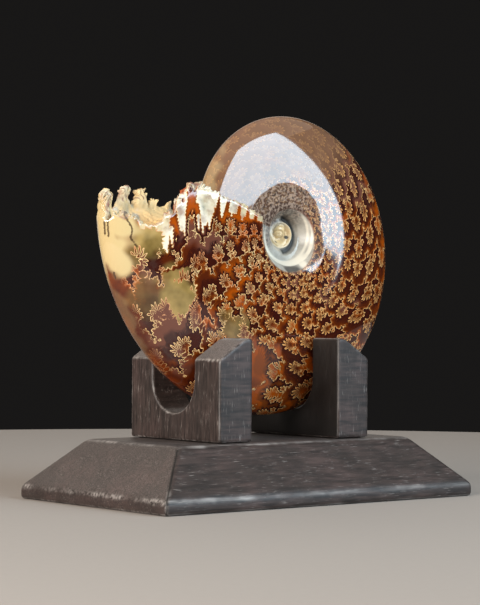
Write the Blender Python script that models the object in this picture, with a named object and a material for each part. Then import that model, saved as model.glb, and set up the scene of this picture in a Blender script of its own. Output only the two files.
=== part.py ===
"""Polished ammonite fossil resting in a small wooden stand.

Four solids: a bevelled base plate, two notched uprights that stand on it,
and the ammonite, one piece of stone that lies in the two notches.

Metres, +Z up. The origin is the middle of the base's underside. +X runs along
the base's long side and the shell's plane, so the shell's flanks face -Y and +Y.
"""

import math

import bmesh
import bpy
from mathutils import Matrix, Vector

MM = 0.001

# Base plate: a short upright side, then a long slope up to the flat top.
BASE_LENGTH = 183.0 * MM
BASE_WIDTH = 112.0 * MM
BASE_SIDE = 6.2 * MM
BASE_HEIGHT = 28.0 * MM
TOP_LENGTH = 138.5 * MM
TOP_WIDTH = 69.5 * MM
BASE_ROUND = 2.2 * MM

# Uprights: one board across each end of the flat top.
BOARD = 19.0 * MM
UPRIGHT_OFFSET = 35.3 * MM
UPRIGHT_WIDTH = 66.5 * MM
UPRIGHT_HEIGHT = 46.8 * MM
CHAMFER_RUN = 14.8 * MM
CHAMFER_DROP = 9.4 * MM
NOTCH_RADIUS = 15.4 * MM
NOTCH_CENTRE_Z = 56.0 * MM
NOTCH_SHIFT = 1.0 * MM
NOTCH_SIDES = 18
UPRIGHT_ROUND = 1.3 * MM
GLUE_GAP = 0.3 * MM

# Shell: a flat spiral that grows clockwise seen from the front.
SHELL_X = 15.8 * MM
SHELL_Y = 1.25 * MM
SHELL_Z = 123.3 * MM
SHELL_LEAN = math.radians(-1.1)
SPIRAL_START = math.radians(172.6)
OUTER_RADIUS = 102.7 * MM
GROWTH = 0.109
GROWTH_SLOWING = 0.003
INNER_GROWTH = 0.12
HALF_THICKNESS = 18.6 * MM
THICKNESS_GROWTH = 0.128
TURN = 2.0 * math.pi

# Whorl section, as fractions of the whorl's outer radius.
FULLEST = 0.433
FLANK_POWER = 2.16
SEAM = 0.14
WALL_SLOPE = 7.6
WALL_FOOT = 0.41
SHOULDER_BLEND = 0.10
FLANK_DISH = 0.15
WHORLS = 3
HUB_DEPTH = 1.2 * MM

# The broken end follows the last chamber wall: (fraction of the radius, degrees
# back from the seam's angle), from the seam out on the front flank, then the back.
END_ANGLE = math.radians(168.0)
FRONT_EDGE = (
    (0.14, 0.0), (0.25, -1.0), (0.33, -6.5), (0.42, -8.0), (0.52, -8.5),
    (0.61, -7.5), (0.69, -3.5), (0.75, 3.0), (0.82, 6.5), (0.89, 8.0),
    (0.95, 5.5), (1.0, 2.0),
)
BACK_EDGE = (
    (0.14, 0.0), (0.25, -1.5), (0.36, -7.0), (0.46, -8.0), (0.54, -3.5),
    (0.62, -3.0), (0.70, -5.5), (0.79, -2.5), (0.86, -4.0), (0.93, 0.0),
    (1.0, 2.0),
)
END_DIP = math.radians(6.0)
FULL_SPAN = 56.0 * MM

COLUMNS = 72
FLANK_ROWS = 14
ROW_CROWDING = 1.7
HOLLOW_ROWS = 8
END_ROWS = 5


def clear_scene():
    """Remove whatever the file opened with."""
    for ob in list(bpy.data.objects):
        bpy.data.objects.remove(ob, do_unlink=True)


def material(name, colour, roughness, coat=0.0):
    """One plain surface finish."""
    made = bpy.data.materials.new(name)
    made.use_nodes = True
    shader = made.node_tree.nodes["Principled BSDF"]
    shader.inputs["Base Color"].default_value = (*colour, 1.0)
    shader.inputs["Roughness"].default_value = roughness
    shader.inputs["Metallic"].default_value = 0.0
    shader.inputs["Coat Weight"].default_value = coat
    return made


def add_object(name, mesh, finish):
    """Put a mesh in the scene under the node's name."""
    mesh.materials.append(finish)
    ob = bpy.data.objects.new(name, mesh)
    bpy.context.scene.collection.objects.link(ob)
    return ob


def mesh_from(bm, name):
    """Turn a bmesh into a mesh whose faces look outward."""
    bmesh.ops.recalc_face_normals(bm, faces=bm.faces)
    mesh = bpy.data.meshes.new(name)
    bm.to_mesh(mesh)
    bm.free()
    return mesh


def round_edges(ob, width, segments, angle):
    """Soften the worn wooden edges."""
    bevel = ob.modifiers.new("worn edges", "BEVEL")
    bevel.width = width
    bevel.segments = segments
    bevel.limit_method = "ANGLE"
    bevel.angle_limit = math.radians(angle)


def build_base(finish):
    """Bevelled plate: three rectangles, one above another."""
    bm = bmesh.new()
    rings = []
    for length, width, z in (
        (BASE_LENGTH, BASE_WIDTH, 0.0),
        (BASE_LENGTH, BASE_WIDTH, BASE_SIDE),
        (TOP_LENGTH, TOP_WIDTH, BASE_HEIGHT),
    ):
        corners = ((-1, -1), (1, -1), (1, 1), (-1, 1))
        rings.append(
            [bm.verts.new((sx * length / 2, sy * width / 2, z)) for sx, sy in corners]
        )
    for low, high in zip(rings, rings[1:]):
        for i in range(4):
            j = (i + 1) % 4
            bm.faces.new((low[i], low[j], high[j], high[i]))
    bm.faces.new(rings[0])
    bm.faces.new(rings[-1])
    ob = add_object("stand_base", mesh_from(bm, "stand_base"), finish)
    round_edges(ob, BASE_ROUND, 3, 20)
    return ob


def build_upright(name, side, finish):
    """A board with a U notch through it and its outer top edge cut back."""
    low = BASE_HEIGHT + GLUE_GAP
    top = BASE_HEIGHT + UPRIGHT_HEIGHT
    half = UPRIGHT_WIDTH / 2
    outline = [(-half, low), (half, low), (half, top)]
    outline.append((NOTCH_SHIFT + NOTCH_RADIUS, top))
    for i in range(NOTCH_SIDES + 1):
        a = -math.pi * i / NOTCH_SIDES
        y = NOTCH_SHIFT + NOTCH_RADIUS * math.cos(a)
        outline.append((y, NOTCH_CENTRE_Z + NOTCH_RADIUS * math.sin(a)))
    outline.append((NOTCH_SHIFT - NOTCH_RADIUS, top))
    outline.append((-half, top))

    bm = bmesh.new()
    x0 = side * UPRIGHT_OFFSET - BOARD / 2
    face = bm.faces.new([bm.verts.new((x0, y, z)) for y, z in outline])
    grown = bmesh.ops.extrude_face_region(bm, geom=[face])
    moved = [v for v in grown["geom"] if isinstance(v, bmesh.types.BMVert)]
    bmesh.ops.translate(bm, verts=moved, vec=(BOARD, 0, 0))
    bmesh.ops.recalc_face_normals(bm, faces=bm.faces)

    outer = side * (UPRIGHT_OFFSET + BOARD / 2)
    normal = Vector((side * CHAMFER_DROP, 0, CHAMFER_RUN)).normalized()
    cut = bmesh.ops.bisect_plane(
        bm,
        geom=bm.verts[:] + bm.edges[:] + bm.faces[:],
        plane_co=(outer, 0, top - CHAMFER_DROP),
        plane_no=normal,
        clear_outer=True,
    )
    rim = [e for e in cut["geom_cut"] if isinstance(e, bmesh.types.BMEdge)]
    bmesh.ops.contextual_create(bm, geom=rim)
    ob = add_object(name, mesh_from(bm, name), finish)
    round_edges(ob, UPRIGHT_ROUND, 2, 25)
    return ob


def radius(angle):
    """The shell's outer radius where it has turned to this angle."""
    turned = angle - SPIRAL_START
    if turned < TURN:
        return OUTER_RADIUS * math.exp(-turned * (GROWTH + GROWTH_SLOWING * turned))
    whole = OUTER_RADIUS * math.exp(-TURN * (GROWTH + GROWTH_SLOWING * TURN))
    return whole * math.exp(-INNER_GROWTH * (turned - TURN))


def smooth_min(a, b, blend):
    """The smaller of two values, with a rounded change-over."""
    h = max(blend - abs(a - b), 0.0) / blend
    return min(a, b) - h * h * blend / 4.0


def whorl_depth(angle, r):
    """Half thickness of one whorl at a distance from the spiral's centre."""
    at = r / radius(angle)
    if at >= 1.0:
        return 0.0
    if at > FULLEST:
        flank = math.sqrt(1.0 - ((at - FULLEST) / (1.0 - FULLEST)) ** FLANK_POWER)
    else:
        flank = 1.0 - FLANK_DISH * ((FULLEST - at) / (FULLEST - SEAM)) ** 2
    wall = WALL_FOOT + WALL_SLOPE * (at - SEAM)
    full = HALF_THICKNESS * math.exp(-THICKNESS_GROWTH * (angle - SPIRAL_START))
    return full * max(smooth_min(flank, wall, SHOULDER_BLEND), 0.0)


def depth(angle, r):
    """Half thickness of the shell: the whorl on top of the earlier ones."""
    deepest = max(whorl_depth(angle + TURN * n, r) for n in range(WHORLS))
    return max(deepest, HUB_DEPTH)


def edge_shift(points, at):
    """Straight-line reading of the broken edge's list, in radians."""
    for (a0, d0), (a1, d1) in zip(points, points[1:]):
        if at <= a1:
            return math.radians(d0 + (d1 - d0) * (at - a0) / (a1 - a0))
    return math.radians(points[-1][1])


def shell_point(angle, r, y):
    """A point of the spiral, before the shell is leaned and lifted."""
    return Vector((r * math.cos(angle), y, r * math.sin(angle)))


def build_ammonite(finish):
    """Closed shell: two flanks, the umbilical hollow and the broken end."""
    inner = SEAM * radius(END_ANGLE)
    bm = bmesh.new()
    sides = {}
    venter = []
    for side, edge in ((-1, FRONT_EDGE), (1, BACK_EDGE)):
        grid = []
        for i in range(COLUMNS + 1):
            column = []
            for j in range(FLANK_ROWS + 1):
                # Rows crowd toward the rounded outer rim.
                out = 1.0 - (j / FLANK_ROWS) ** ROW_CROWDING
                shift = edge_shift(edge, SEAM + (1.0 - SEAM) * out)
                angle = END_ANGLE + shift + TURN * i / COLUMNS
                r = inner + (radius(angle) - inner) * out
                if j == 0:
                    if side < 0:
                        venter.append(bm.verts.new(shell_point(angle, r, 0.0)))
                    column.append(venter[i])
                elif j == FLANK_ROWS and i == COLUMNS:
                    column.append(grid[0][-1])
                else:
                    y = side * depth(angle, r)
                    column.append(bm.verts.new(shell_point(angle, r, y)))
            grid.append(column)
        sides[side] = grid

        rings = [[grid[i][-1] for i in range(COLUMNS)]]
        for j in range(1, HOLLOW_ROWS):
            r = inner * (1.0 - j / HOLLOW_ROWS)
            ring = []
            for i in range(COLUMNS):
                angle = END_ANGLE + TURN * i / COLUMNS
                ring.append(bm.verts.new(shell_point(angle, r, side * depth(angle, r))))
            rings.append(ring)
        hub = bm.verts.new(shell_point(0.0, 0.0, side * depth(END_ANGLE, 0.0)))
        for i in range(COLUMNS):
            for j in range(FLANK_ROWS):
                a, b = grid[i], grid[i + 1]
                bm.faces.new((a[j], a[j + 1], b[j + 1], b[j]))
            k = (i + 1) % COLUMNS
            for near, far in zip(rings, rings[1:]):
                bm.faces.new((near[i], near[k], far[k], far[i]))
            bm.faces.new((rings[-1][i], rings[-1][k], hub))

    # The broken end joins the last whorl's edge to the whorl that it wraps.
    first = sides[-1][0][::-1] + sides[1][0][1:]
    last = sides[-1][-1][::-1] + sides[1][-1][1:]
    rows = [first]
    for k in range(1, END_ROWS + 1):
        along = k / (END_ROWS + 1)
        row = [first[0]]
        for a, b in zip(first[1:-1], last[1:-1]):
            place = a.co.lerp(b.co, along)
            span = min((a.co - b.co).length / FULL_SPAN, 1.0)
            dip = END_DIP * math.sin(math.pi * along) * span
            row.append(bm.verts.new(Matrix.Rotation(-dip, 3, "Y") @ place))
        row.append(first[-1])
        rows.append(row)
    rows.append(last)
    for low, high in zip(rows, rows[1:]):
        for i in range(len(low) - 1):
            ring = [low[i], low[i + 1], high[i + 1], high[i]]
            ring = [v for n, v in enumerate(ring) if v not in ring[:n]]
            if len(ring) > 2:
                bm.faces.new(ring)
    bmesh.ops.triangulate(bm, faces=bm.faces)

    # Its top leans a little to the back.
    bmesh.ops.transform(bm, matrix=Matrix.Rotation(SHELL_LEAN, 4, "X"), verts=bm.verts)
    mesh = mesh_from(bm, "ammonite")
    mesh.shade_smooth()
    mesh.set_sharp_from_angle(angle=math.radians(42))
    ob = add_object("ammonite", mesh, finish)
    ob.location = (SHELL_X, SHELL_Y, SHELL_Z)
    return ob


clear_scene()
wood = material("dark stained wood", (0.085, 0.066, 0.060), 0.45, 0.1)
stone = material("polished ammonite", (0.260, 0.085, 0.018), 0.08, 1.0)
stand = bpy.data.objects.new("stand", None)
bpy.context.scene.collection.objects.link(stand)
build_base(wood).parent = stand
build_upright("upright_left", -1, wood).parent = stand
build_upright("upright_right", 1, wood).parent = stand
build_ammonite(stone).parent = stand
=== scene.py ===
"""Finish the polished ammonite and the wooden stand that holds it.

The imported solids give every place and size. This script models the fine
surfaces around them: the shell with the leafy seams of its chamber walls, its
frilled broken end and its navel, and the stand's worn, stained wood. Lengths in
the classes are millimetres; pieces are turned to metres as they are made.
"""

import logging
import math
from collections.abc import Callable, Iterator
from dataclasses import dataclass, field
from enum import Enum
from functools import partial

import bpy
import numpy as np
from mathutils import Matrix, Quaternion, Vector


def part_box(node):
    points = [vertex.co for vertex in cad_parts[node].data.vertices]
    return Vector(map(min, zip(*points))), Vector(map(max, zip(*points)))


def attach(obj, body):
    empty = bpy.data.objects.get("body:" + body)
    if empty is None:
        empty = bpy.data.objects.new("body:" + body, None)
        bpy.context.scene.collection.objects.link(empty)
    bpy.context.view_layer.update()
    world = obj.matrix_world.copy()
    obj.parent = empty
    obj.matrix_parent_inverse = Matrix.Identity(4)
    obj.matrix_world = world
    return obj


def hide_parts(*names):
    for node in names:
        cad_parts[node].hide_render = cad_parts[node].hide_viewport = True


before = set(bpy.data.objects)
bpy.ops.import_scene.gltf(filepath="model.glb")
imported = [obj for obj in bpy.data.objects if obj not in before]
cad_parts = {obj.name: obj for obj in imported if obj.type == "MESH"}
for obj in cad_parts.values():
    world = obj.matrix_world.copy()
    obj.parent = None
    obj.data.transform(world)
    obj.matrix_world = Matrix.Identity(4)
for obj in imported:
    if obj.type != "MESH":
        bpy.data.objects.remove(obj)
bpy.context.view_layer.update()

# A millimetre in metres. A noise scale of 0.33 / MM draws a swell every 3 mm or so.
MM = 0.001
TURN = 2.0 * math.pi

log = logging.getLogger("ammonite")
Array = np.ndarray
Socket = bpy.types.NodeSocket
# Settings of a node that mixes two colours, and of a range with eased ends.
COLOURS = {"data_type": "RGBA", "out": 2}
EASED = {"interpolation_type": "SMOOTHSTEP"}


# ---------------------------------------------------------------- small tools


def linear(code: str) -> tuple[float, float, float, float]:
    """Turn an sRGB hex colour into linear light.

    Args:
        code: The colour as "#rrggbb".

    Returns:
        Linear red, green and blue, with an alpha of one.
    """
    parts = [int(code[i : i + 2], 16) / 255.0 for i in (1, 3, 5)]
    low = [c / 12.92 if c <= 0.04045 else ((c + 0.055) / 1.055) ** 2.4 for c in parts]
    return (low[0], low[1], low[2], 1.0)


def add(tree: bpy.types.NodeTree, kind: str, ins: dict | tuple = (), out: int | str = 0,
        **settings: object) -> Socket | None:
    """Add one node, set it up and link what feeds it.

    Args:
        tree: The node tree it goes into.
        kind: Blender's name for the node, without "ShaderNode".
        ins: Inputs in the node's own order, or by name or number. A socket is
            linked and a value is set. A MapRange takes the value, the range that
            it comes from and the range that it goes to.
        out: Which output to hand back.
        **settings: The node's own properties.

    Returns:
        The chosen output socket, or None from a node that ends the tree.
    """
    made = tree.nodes.new("ShaderNode" + kind)
    for key, value in settings.items():
        setattr(made, key, value)
    for key, value in ins.items() if isinstance(ins, dict) else enumerate(ins):
        if isinstance(value, bpy.types.NodeSocket):
            tree.links.new(value, made.inputs[key])
        else:
            made.inputs[key].default_value = value
    return made.outputs[out] if len(made.outputs) else None


def blank(name: str) -> tuple[bpy.types.Material, Callable]:
    """Start a material that has no nodes.

    Args:
        name: The material's name.

    Returns:
        The material, and add() bound to its tree.
    """
    made = bpy.data.materials.new(name)
    made.use_nodes = True
    made.node_tree.nodes.clear()
    return made, partial(add, made.node_tree)


def smoothstep(x: Array) -> Array:
    """Ease from 0 to 1 as x goes from 0 to 1."""
    x = np.clip(x, 0.0, 1.0)
    return x * x * (3.0 - 2.0 * x)


def smooth_max(a: Array, b: Array, blend: float) -> Array:
    """Take the larger of two fields, with a rounded change-over."""
    h = np.clip(blend - np.abs(a - b), 0.0, None) / blend
    return np.maximum(a, b) + h * h * blend / 4.0


def corners(low: Array, part: Array) -> Iterator[tuple[Array, Array]]:
    """Go round the eight samples about each place.

    Args:
        low: Number of the lowest of them along each axis, one place per row.
        part: How far the place lies from it toward the next, from 0 to 1.

    Yields:
        A sample's weight for each place, and its three numbers.
    """
    for corner in range(8):
        step = np.array([corner & 1, corner >> 1 & 1, corner >> 2 & 1])
        yield np.prod(np.where(step, part, 1.0 - part), axis=1), (low + step).T


def cloud(points: Array, size: float, seed: int) -> Array:
    """Soft random values that vary over a given length.

    Args:
        points: Places, one per row, in millimetres.
        size: The length of one swell.
        seed: Which pattern.

    Returns:
        One value from -1 to 1 for each place.
    """
    side = 24
    lattice = np.random.default_rng(seed).uniform(-1.0, 1.0, (side, side, side))
    at = np.asarray(points, float) / size + 7.3
    low = np.floor(at).astype(int)
    part = smoothstep(at - low)
    total = np.zeros(len(at))
    for weight, (i, j, k) in corners(low, part):
        total += weight * lattice[i % side, j % side, k % side]
    return total


@dataclass
class Skin:
    """A mesh on its way to becoming a piece.

    Attributes:
        points: Vertices in millimetres, one per row.
        quads: Vertex numbers of the four-sided faces.
        normals: The smooth surface's normal at each vertex.
        fields: Named values carried by the vertices, one or four to a vertex.
    """

    points: Array
    quads: Array
    normals: Array
    fields: dict[str, Array] = field(default_factory=dict)

    def piece(self, name: str, finish: bpy.types.Material) -> bpy.types.Object:
        """Make the mesh object.

        Args:
            name: The piece's name.
            finish: Its material.

        Returns:
            The object, in the scene and in metres.
        """
        mesh = bpy.data.meshes.new(name)
        mesh.vertices.add(len(self.points))
        mesh.vertices.foreach_set("co", (self.points * MM).astype(np.float32).ravel())
        mesh.loops.add(self.quads.size)
        mesh.loops.foreach_set("vertex_index", self.quads.astype(np.int32).ravel())
        mesh.polygons.add(len(self.quads))
        mesh.polygons.foreach_set("loop_start", np.arange(0, self.quads.size, 4, dtype=np.int32))
        mesh.update(calc_edges=True)
        for label, values in self.fields.items():
            if values.ndim == 1:
                layer = mesh.attributes.new(label, "FLOAT", "POINT")
                layer.data.foreach_set("value", values.astype(np.float32))
            else:
                layer = mesh.attributes.new(label, "FLOAT_COLOR", "POINT")
                layer.data.foreach_set("color", values.astype(np.float32).ravel())
        mesh.polygons.foreach_set("use_smooth", np.ones(len(self.quads), bool))
        mesh.normals_split_custom_set_from_vertices(self.normals.tolist())
        mesh.materials.append(finish)
        made = bpy.data.objects.new(name, mesh)
        bpy.context.scene.collection.objects.link(made)
        return made

    def keep(self, wanted: Array) -> "Skin":
        """Drop the faces that aren't wanted, and the vertices left over.

        Args:
            wanted: One flag for each face.

        Returns:
            The smaller skin.
        """
        quads = self.quads[wanted]
        used = np.zeros(len(self.points), bool)
        used[quads.ravel()] = True
        number = np.cumsum(used) - 1
        fields = {label: values[used] for label, values in self.fields.items()}
        return Skin(self.points[used], number[quads], self.normals[used], fields)


@dataclass(frozen=True)
class Block:
    """A box of evenly spaced sample points for carving a solid.

    Attributes:
        low: The lowest corner, in millimetres.
        high: The highest corner.
        step: The spacing.
    """

    low: tuple[float, float, float]
    high: tuple[float, float, float]
    step: float

    def axes(self) -> tuple[Array, Array, Array]:
        """Give the sample places along each axis, shaped to broadcast."""
        lines = [np.arange(a, b + self.step, self.step) for a, b in zip(self.low, self.high)]
        return lines[0][:, None, None], lines[1][None, :, None], lines[2][None, None, :]

    def read(self, values: Array, points: Array) -> Array:
        """Read sampled values between their sample places.

        Args:
            values: The samples, with any further axes last.
            points: Where to read, one place per row.

        Returns:
            The values there.
        """
        at = (points - np.array(self.low)) / self.step
        top = np.array(values.shape[:3]) - 2
        low = np.clip(np.floor(at).astype(int), 0, top)
        part = np.clip(at - low, 0.0, 1.0)
        total = 0.0
        for weight, (i, j, k) in corners(low, part):
            found = values[i, j, k]
            total = total + (weight[:, None] * found if found.ndim > 1 else weight * found)
        return total

    def carve(self, solid: Array) -> Skin:
        """Wrap a skin around where a sampled field is below zero.

        Each cell that the surface crosses gets one vertex, and each sample edge
        that it crosses gets one four-sided face.

        Args:
            solid: Distance to the surface at each sample, negative inside.

        Returns:
            The skin, with its normals from the field's slope.
        """
        shape = np.array(solid.shape)
        cells = tuple(shape - 1)
        total = np.zeros(cells + (3,), np.float32)
        count = np.zeros(cells, np.float32)
        crossings = []
        for axis in range(3):
            near = np.take(solid, range(shape[axis] - 1), axis=axis)
            far = np.take(solid, range(1, shape[axis]), axis=axis)
            cut = (near < 0) != (far < 0)
            part = np.where(cut, near / np.where(cut, near - far, 1.0), 0.0)
            crossings.append((cut, near < 0))
            others = [a for a in range(3) if a != axis]
            for da in (0, 1):
                for db in (0, 1):
                    window = [slice(None)] * 3
                    window[others[0]] = slice(da, da + cells[others[0]])
                    window[others[1]] = slice(db, db + cells[others[1]])
                    hit = cut[tuple(window)].astype(np.float32)
                    count += hit
                    total[..., axis] += hit * part[tuple(window)]
                    total[..., others[0]] += hit * da
                    total[..., others[1]] += hit * db
        active = count > 0
        number = np.full(cells, -1)
        number[active] = np.arange(active.sum())
        place = np.argwhere(active) + total[active] / count[active][:, None]
        points = place * self.step + np.array(self.low)

        quads = []
        for axis, (cut, inward) in enumerate(crossings):
            b, c = (axis + 1) % 3, (axis + 2) % 3
            where = np.argwhere(cut)
            where = where[(where[:, b] > 0) & (where[:, c] > 0)]
            where = where[(where[:, b] < cells[b]) & (where[:, c] < cells[c])]
            ring = []
            for db, dc in ((-1, -1), (0, -1), (0, 0), (-1, 0)):
                cell = where.copy()
                cell[:, b] += db
                cell[:, c] += dc
                ring.append(number[tuple(cell.T)])
            ring = np.stack(ring, axis=1)
            flip = ~inward[tuple(where.T)]
            ring[flip] = ring[flip][:, ::-1]
            quads.append(ring)

        slope = np.stack(np.gradient(solid, self.step), axis=-1)
        for _ in range(2):
            lean = self.read(slope, points)
            steep = np.maximum((lean * lean).sum(axis=1), 0.05)
            points = points - (self.read(solid, points) / steep)[:, None] * lean
        normals = self.read(slope, points)
        normals /= np.maximum(np.linalg.norm(normals, axis=1), 1e-9)[:, None]
        return Skin(points, np.concatenate(quads), normals)


# --------------------------------------------------------------- shell's shape


# Share of the radius beyond which a place is measured round the rim.
RIM_PIVOT = 0.6
# How far the edges of the broken end's knobs are rounded, in millimetres.
KNOB_ROUND = 0.7
# Stands for no distance at all where nothing lies near, in millimetres.
FAR_OFF = 1000.0


@dataclass(frozen=True)
class Spiral:
    """The shell's form: a flat spiral whose whorls wrap deep over each other.

    Angles run counterclockwise seen from the front, from the broken end back
    toward the shell's start. Sections are in shares of the whorl's radius.
    """

    start: float = math.radians(172.6)
    outer_radius: float = 102.7
    growth: float = 0.109
    growth_slowing: float = 0.003
    inner_growth: float = 0.12
    half_thickness: float = 18.6
    thickness_growth: float = 0.128
    fullest: float = 0.433
    flank_power: float = 2.16
    seam: float = 0.14
    wall_slope: float = 7.6
    wall_foot: float = 0.41
    shoulder_blend: float = 0.10
    flank_taper: float = 0.04
    navel_fall: float = 5.0
    whorls: int = 3
    hub_depth: float = 1.2
    bulge: float = 0.181

    def radius(self, angle: Array) -> Array:
        """Work out the whorl's outer radius.

        Args:
            angle: How far the shell has turned.

        Returns:
            The radius in millimetres.
        """
        turned = np.asarray(angle, float) - self.start
        slowing = self.growth + self.growth_slowing * turned
        last = self.outer_radius * np.exp(-turned * slowing)
        whole = math.exp(-TURN * (self.growth + self.growth_slowing * TURN))
        inner = self.outer_radius * whole * np.exp(-self.inner_growth * (turned - TURN))
        return np.where(turned < TURN, last, inner)

    def thickness(self, angle: Array) -> Array:
        """Give the whorl's greatest half thickness at an angle."""
        turned = np.asarray(angle, float) - self.start
        return self.half_thickness * np.exp(-self.thickness_growth * turned)

    def profile(self, at: Array) -> Array:
        """Half thickness across the whorl, as a share of the greatest.

        Args:
            at: Distance from the centre as a share of the outer radius.

        Returns:
            The share, or below zero past the outer rim.
        """
        at = np.asarray(at, float)
        past = np.clip((at - self.fullest) / (1.0 - self.fullest), 0.0, None)
        square = 1.0 - past**self.flank_power
        flank = np.sign(square) * np.sqrt(np.abs(square))
        flank = flank + self.flank_taper * np.clip(self.fullest - at, 0.0, 0.133)
        flank = flank - self.navel_fall * np.clip(0.30 - at, 0.0, 0.14) ** 2
        wall = self.wall_foot + self.wall_slope * (at - self.seam)
        blend = self.shoulder_blend
        h = np.clip(blend - np.abs(flank - wall), 0.0, None) / blend
        return np.minimum(flank, wall) - h * h * blend / 4.0

    def depth(self, angle: Array, r: Array) -> Array:
        """Half thickness of the shell: the whorl on top of the earlier ones.

        Args:
            angle: The last whorl's turned angle.
            r: Distance from the spiral's centre.

        Returns:
            The half thickness in millimetres.
        """
        deepest = np.full(np.shape(angle), self.hub_depth)
        for turn in range(self.whorls):
            a = np.asarray(angle) + TURN * turn
            whorl = self.thickness(a) * self.profile(r / self.radius(a))
            deepest = np.maximum(deepest, whorl)
        return deepest

    def outside(self, angle: Array, r: Array, y: Array) -> Array:
        """A field that is zero on one whorl's surface and negative inside it."""
        share = self.profile(r / self.radius(angle))
        return (y / self.thickness(angle)) ** 2 - share * np.abs(share)

    def girth_table(self) -> tuple[Array, Array, Array]:
        """Distance along the section, from the seam to the middle of the rim.

        Returns:
            Shares of the radius, the turned direction about the section's
            middle, and the length along the section, each in rising order.
        """
        steps = np.linspace(0.0, 1.0, 400)
        at = self.seam + (1.0 - self.seam) * (1.0 - (1.0 - steps) ** 2)
        half = self.bulge * np.maximum(self.profile(at), 0.0)
        length = np.concatenate([[0.0], np.cumsum(np.hypot(np.diff(at), np.diff(half)))])
        direction = np.arctan2(at - RIM_PIVOT, half)
        return at, direction, length

    def girth(self, at: Array, lift: Array) -> Array:
        """Length along the section to a place, in shares of the radius.

        Args:
            at: Distance from the centre, as a share of the outer radius.
            lift: Distance from the middle plane, as a share of the same.

        Returns:
            Zero at the seam, and GIRTH at the middle of the rim.
        """
        places, direction, length = self.girth_table()
        flat = np.interp(at, places, length)
        round_part = np.interp(np.arctan2(at - RIM_PIVOT, np.abs(lift)), direction, length)
        return np.where(at < RIM_PIVOT, flat, round_part)


SPIRAL = Spiral()
GIRTH = float(SPIRAL.girth_table()[2][-1])


class Side(Enum):
    """The shell's two flanks."""

    FRONT = -1
    BACK = 1


# ----------------------------------------------------- seams of chamber walls


@dataclass(frozen=True)
class Bar:
    """One round-ended bar of a lobe; with both ends together it is a disc.

    Lengths are millimetres: ahead of the seam's line, and along the section.

    Attributes:
        ax: One end, ahead.
        ay: One end, along the section.
        bx: The other end, ahead.
        by: The other end, along the section.
        ra: Radius at the first end.
        rb: Radius at the other end.
        heading: Where a disc's middle finger points.
        reach: How long the fingers around it are.
    """

    ax: float
    ay: float
    bx: float
    by: float
    ra: float
    rb: float
    heading: float = 0.0
    reach: float = 0.8


@dataclass
class Course:
    """A seam's distance field, with the fingers that fringe it.

    Attributes:
        level: Distance to the seam in millimetres, negative behind it.
        finger: Counts the fingers along the seam.
        reach: How long the fingers are, in millimetres.
        stretch: How much longer than wide its leaves are.
    """

    level: Array
    finger: Array
    reach: Array
    stretch: float = 1.28

    def part(self, where: Array) -> "Course":
        """Copy out some of the places."""
        return Course(self.level[where], self.finger[where], self.reach[where])

    def put(self, where: Array, other: "Course") -> None:
        """Put values back where part() took them from.

        Args:
            where: The same places.
            other: The copy.
        """
        self.level[where] = other.level
        self.finger[where] = other.finger
        self.reach[where] = other.reach

    def join(self, px: Array, py: Array, bars: list[Bar], pitch: float, sign: int) -> None:
        """Add bars to the ground behind the seam, or cut them out of it.

        Fingers fade where two bars are equally near, so that they never cross.

        Args:
            px: Places ahead of the seam's line.
            py: Places along the section.
            bars: The bars.
            pitch: From finger to finger, in millimetres.
            sign: 1 to add the bars, -1 to cut them out.
        """
        for bar in bars:
            ux, uy = bar.bx - bar.ax, bar.by - bar.ay
            long = math.hypot(ux, uy)
            along = ((px - bar.ax) * ux + (py - bar.ay) * uy) / max(long * long, 1e-9)
            along = np.clip(along, 0.0, 1.0)
            dx, dy = px - bar.ax - along * ux, py - bar.ay - along * uy
            radius = bar.ra + (bar.rb - bar.ra) * along
            if long == 0.0:
                dx = dx / self.stretch
            gap = sign * (np.hypot(dx, dy) - radius)
            reach = bar.reach
            if long > 0.0:
                finger = along * long / pitch
            else:
                turn = (np.arctan2(dy, dx) - bar.heading + math.pi) % TURN - math.pi
                count = max(round(TURN * (bar.ra + 0.4 * bar.reach) / pitch), 5)
                finger = turn * count / TURN + 0.5
                reach = bar.reach * (0.35 + 0.65 * np.cos(turn / 2.0) ** 2)
            nearer = gap < self.level if sign > 0 else gap > self.level
            fade = smoothstep(np.abs(gap - self.level) / 0.9)
            self.reach = np.where(nearer, reach, self.reach) * (0.25 + 0.75 * fade)
            self.finger = np.where(nearer, finger, self.finger)
            self.level = np.where(nearer, gap, self.level)


@dataclass(frozen=True)
class Lobe:
    """One place in a seam's repeating order, from the rim to the navel.

    Attributes:
        at: Middle, as a share of the flank's girth.
        width: Share of the flank's girth.
        length: In distances between two seams.
    """

    at: float
    width: float
    length: float


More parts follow.
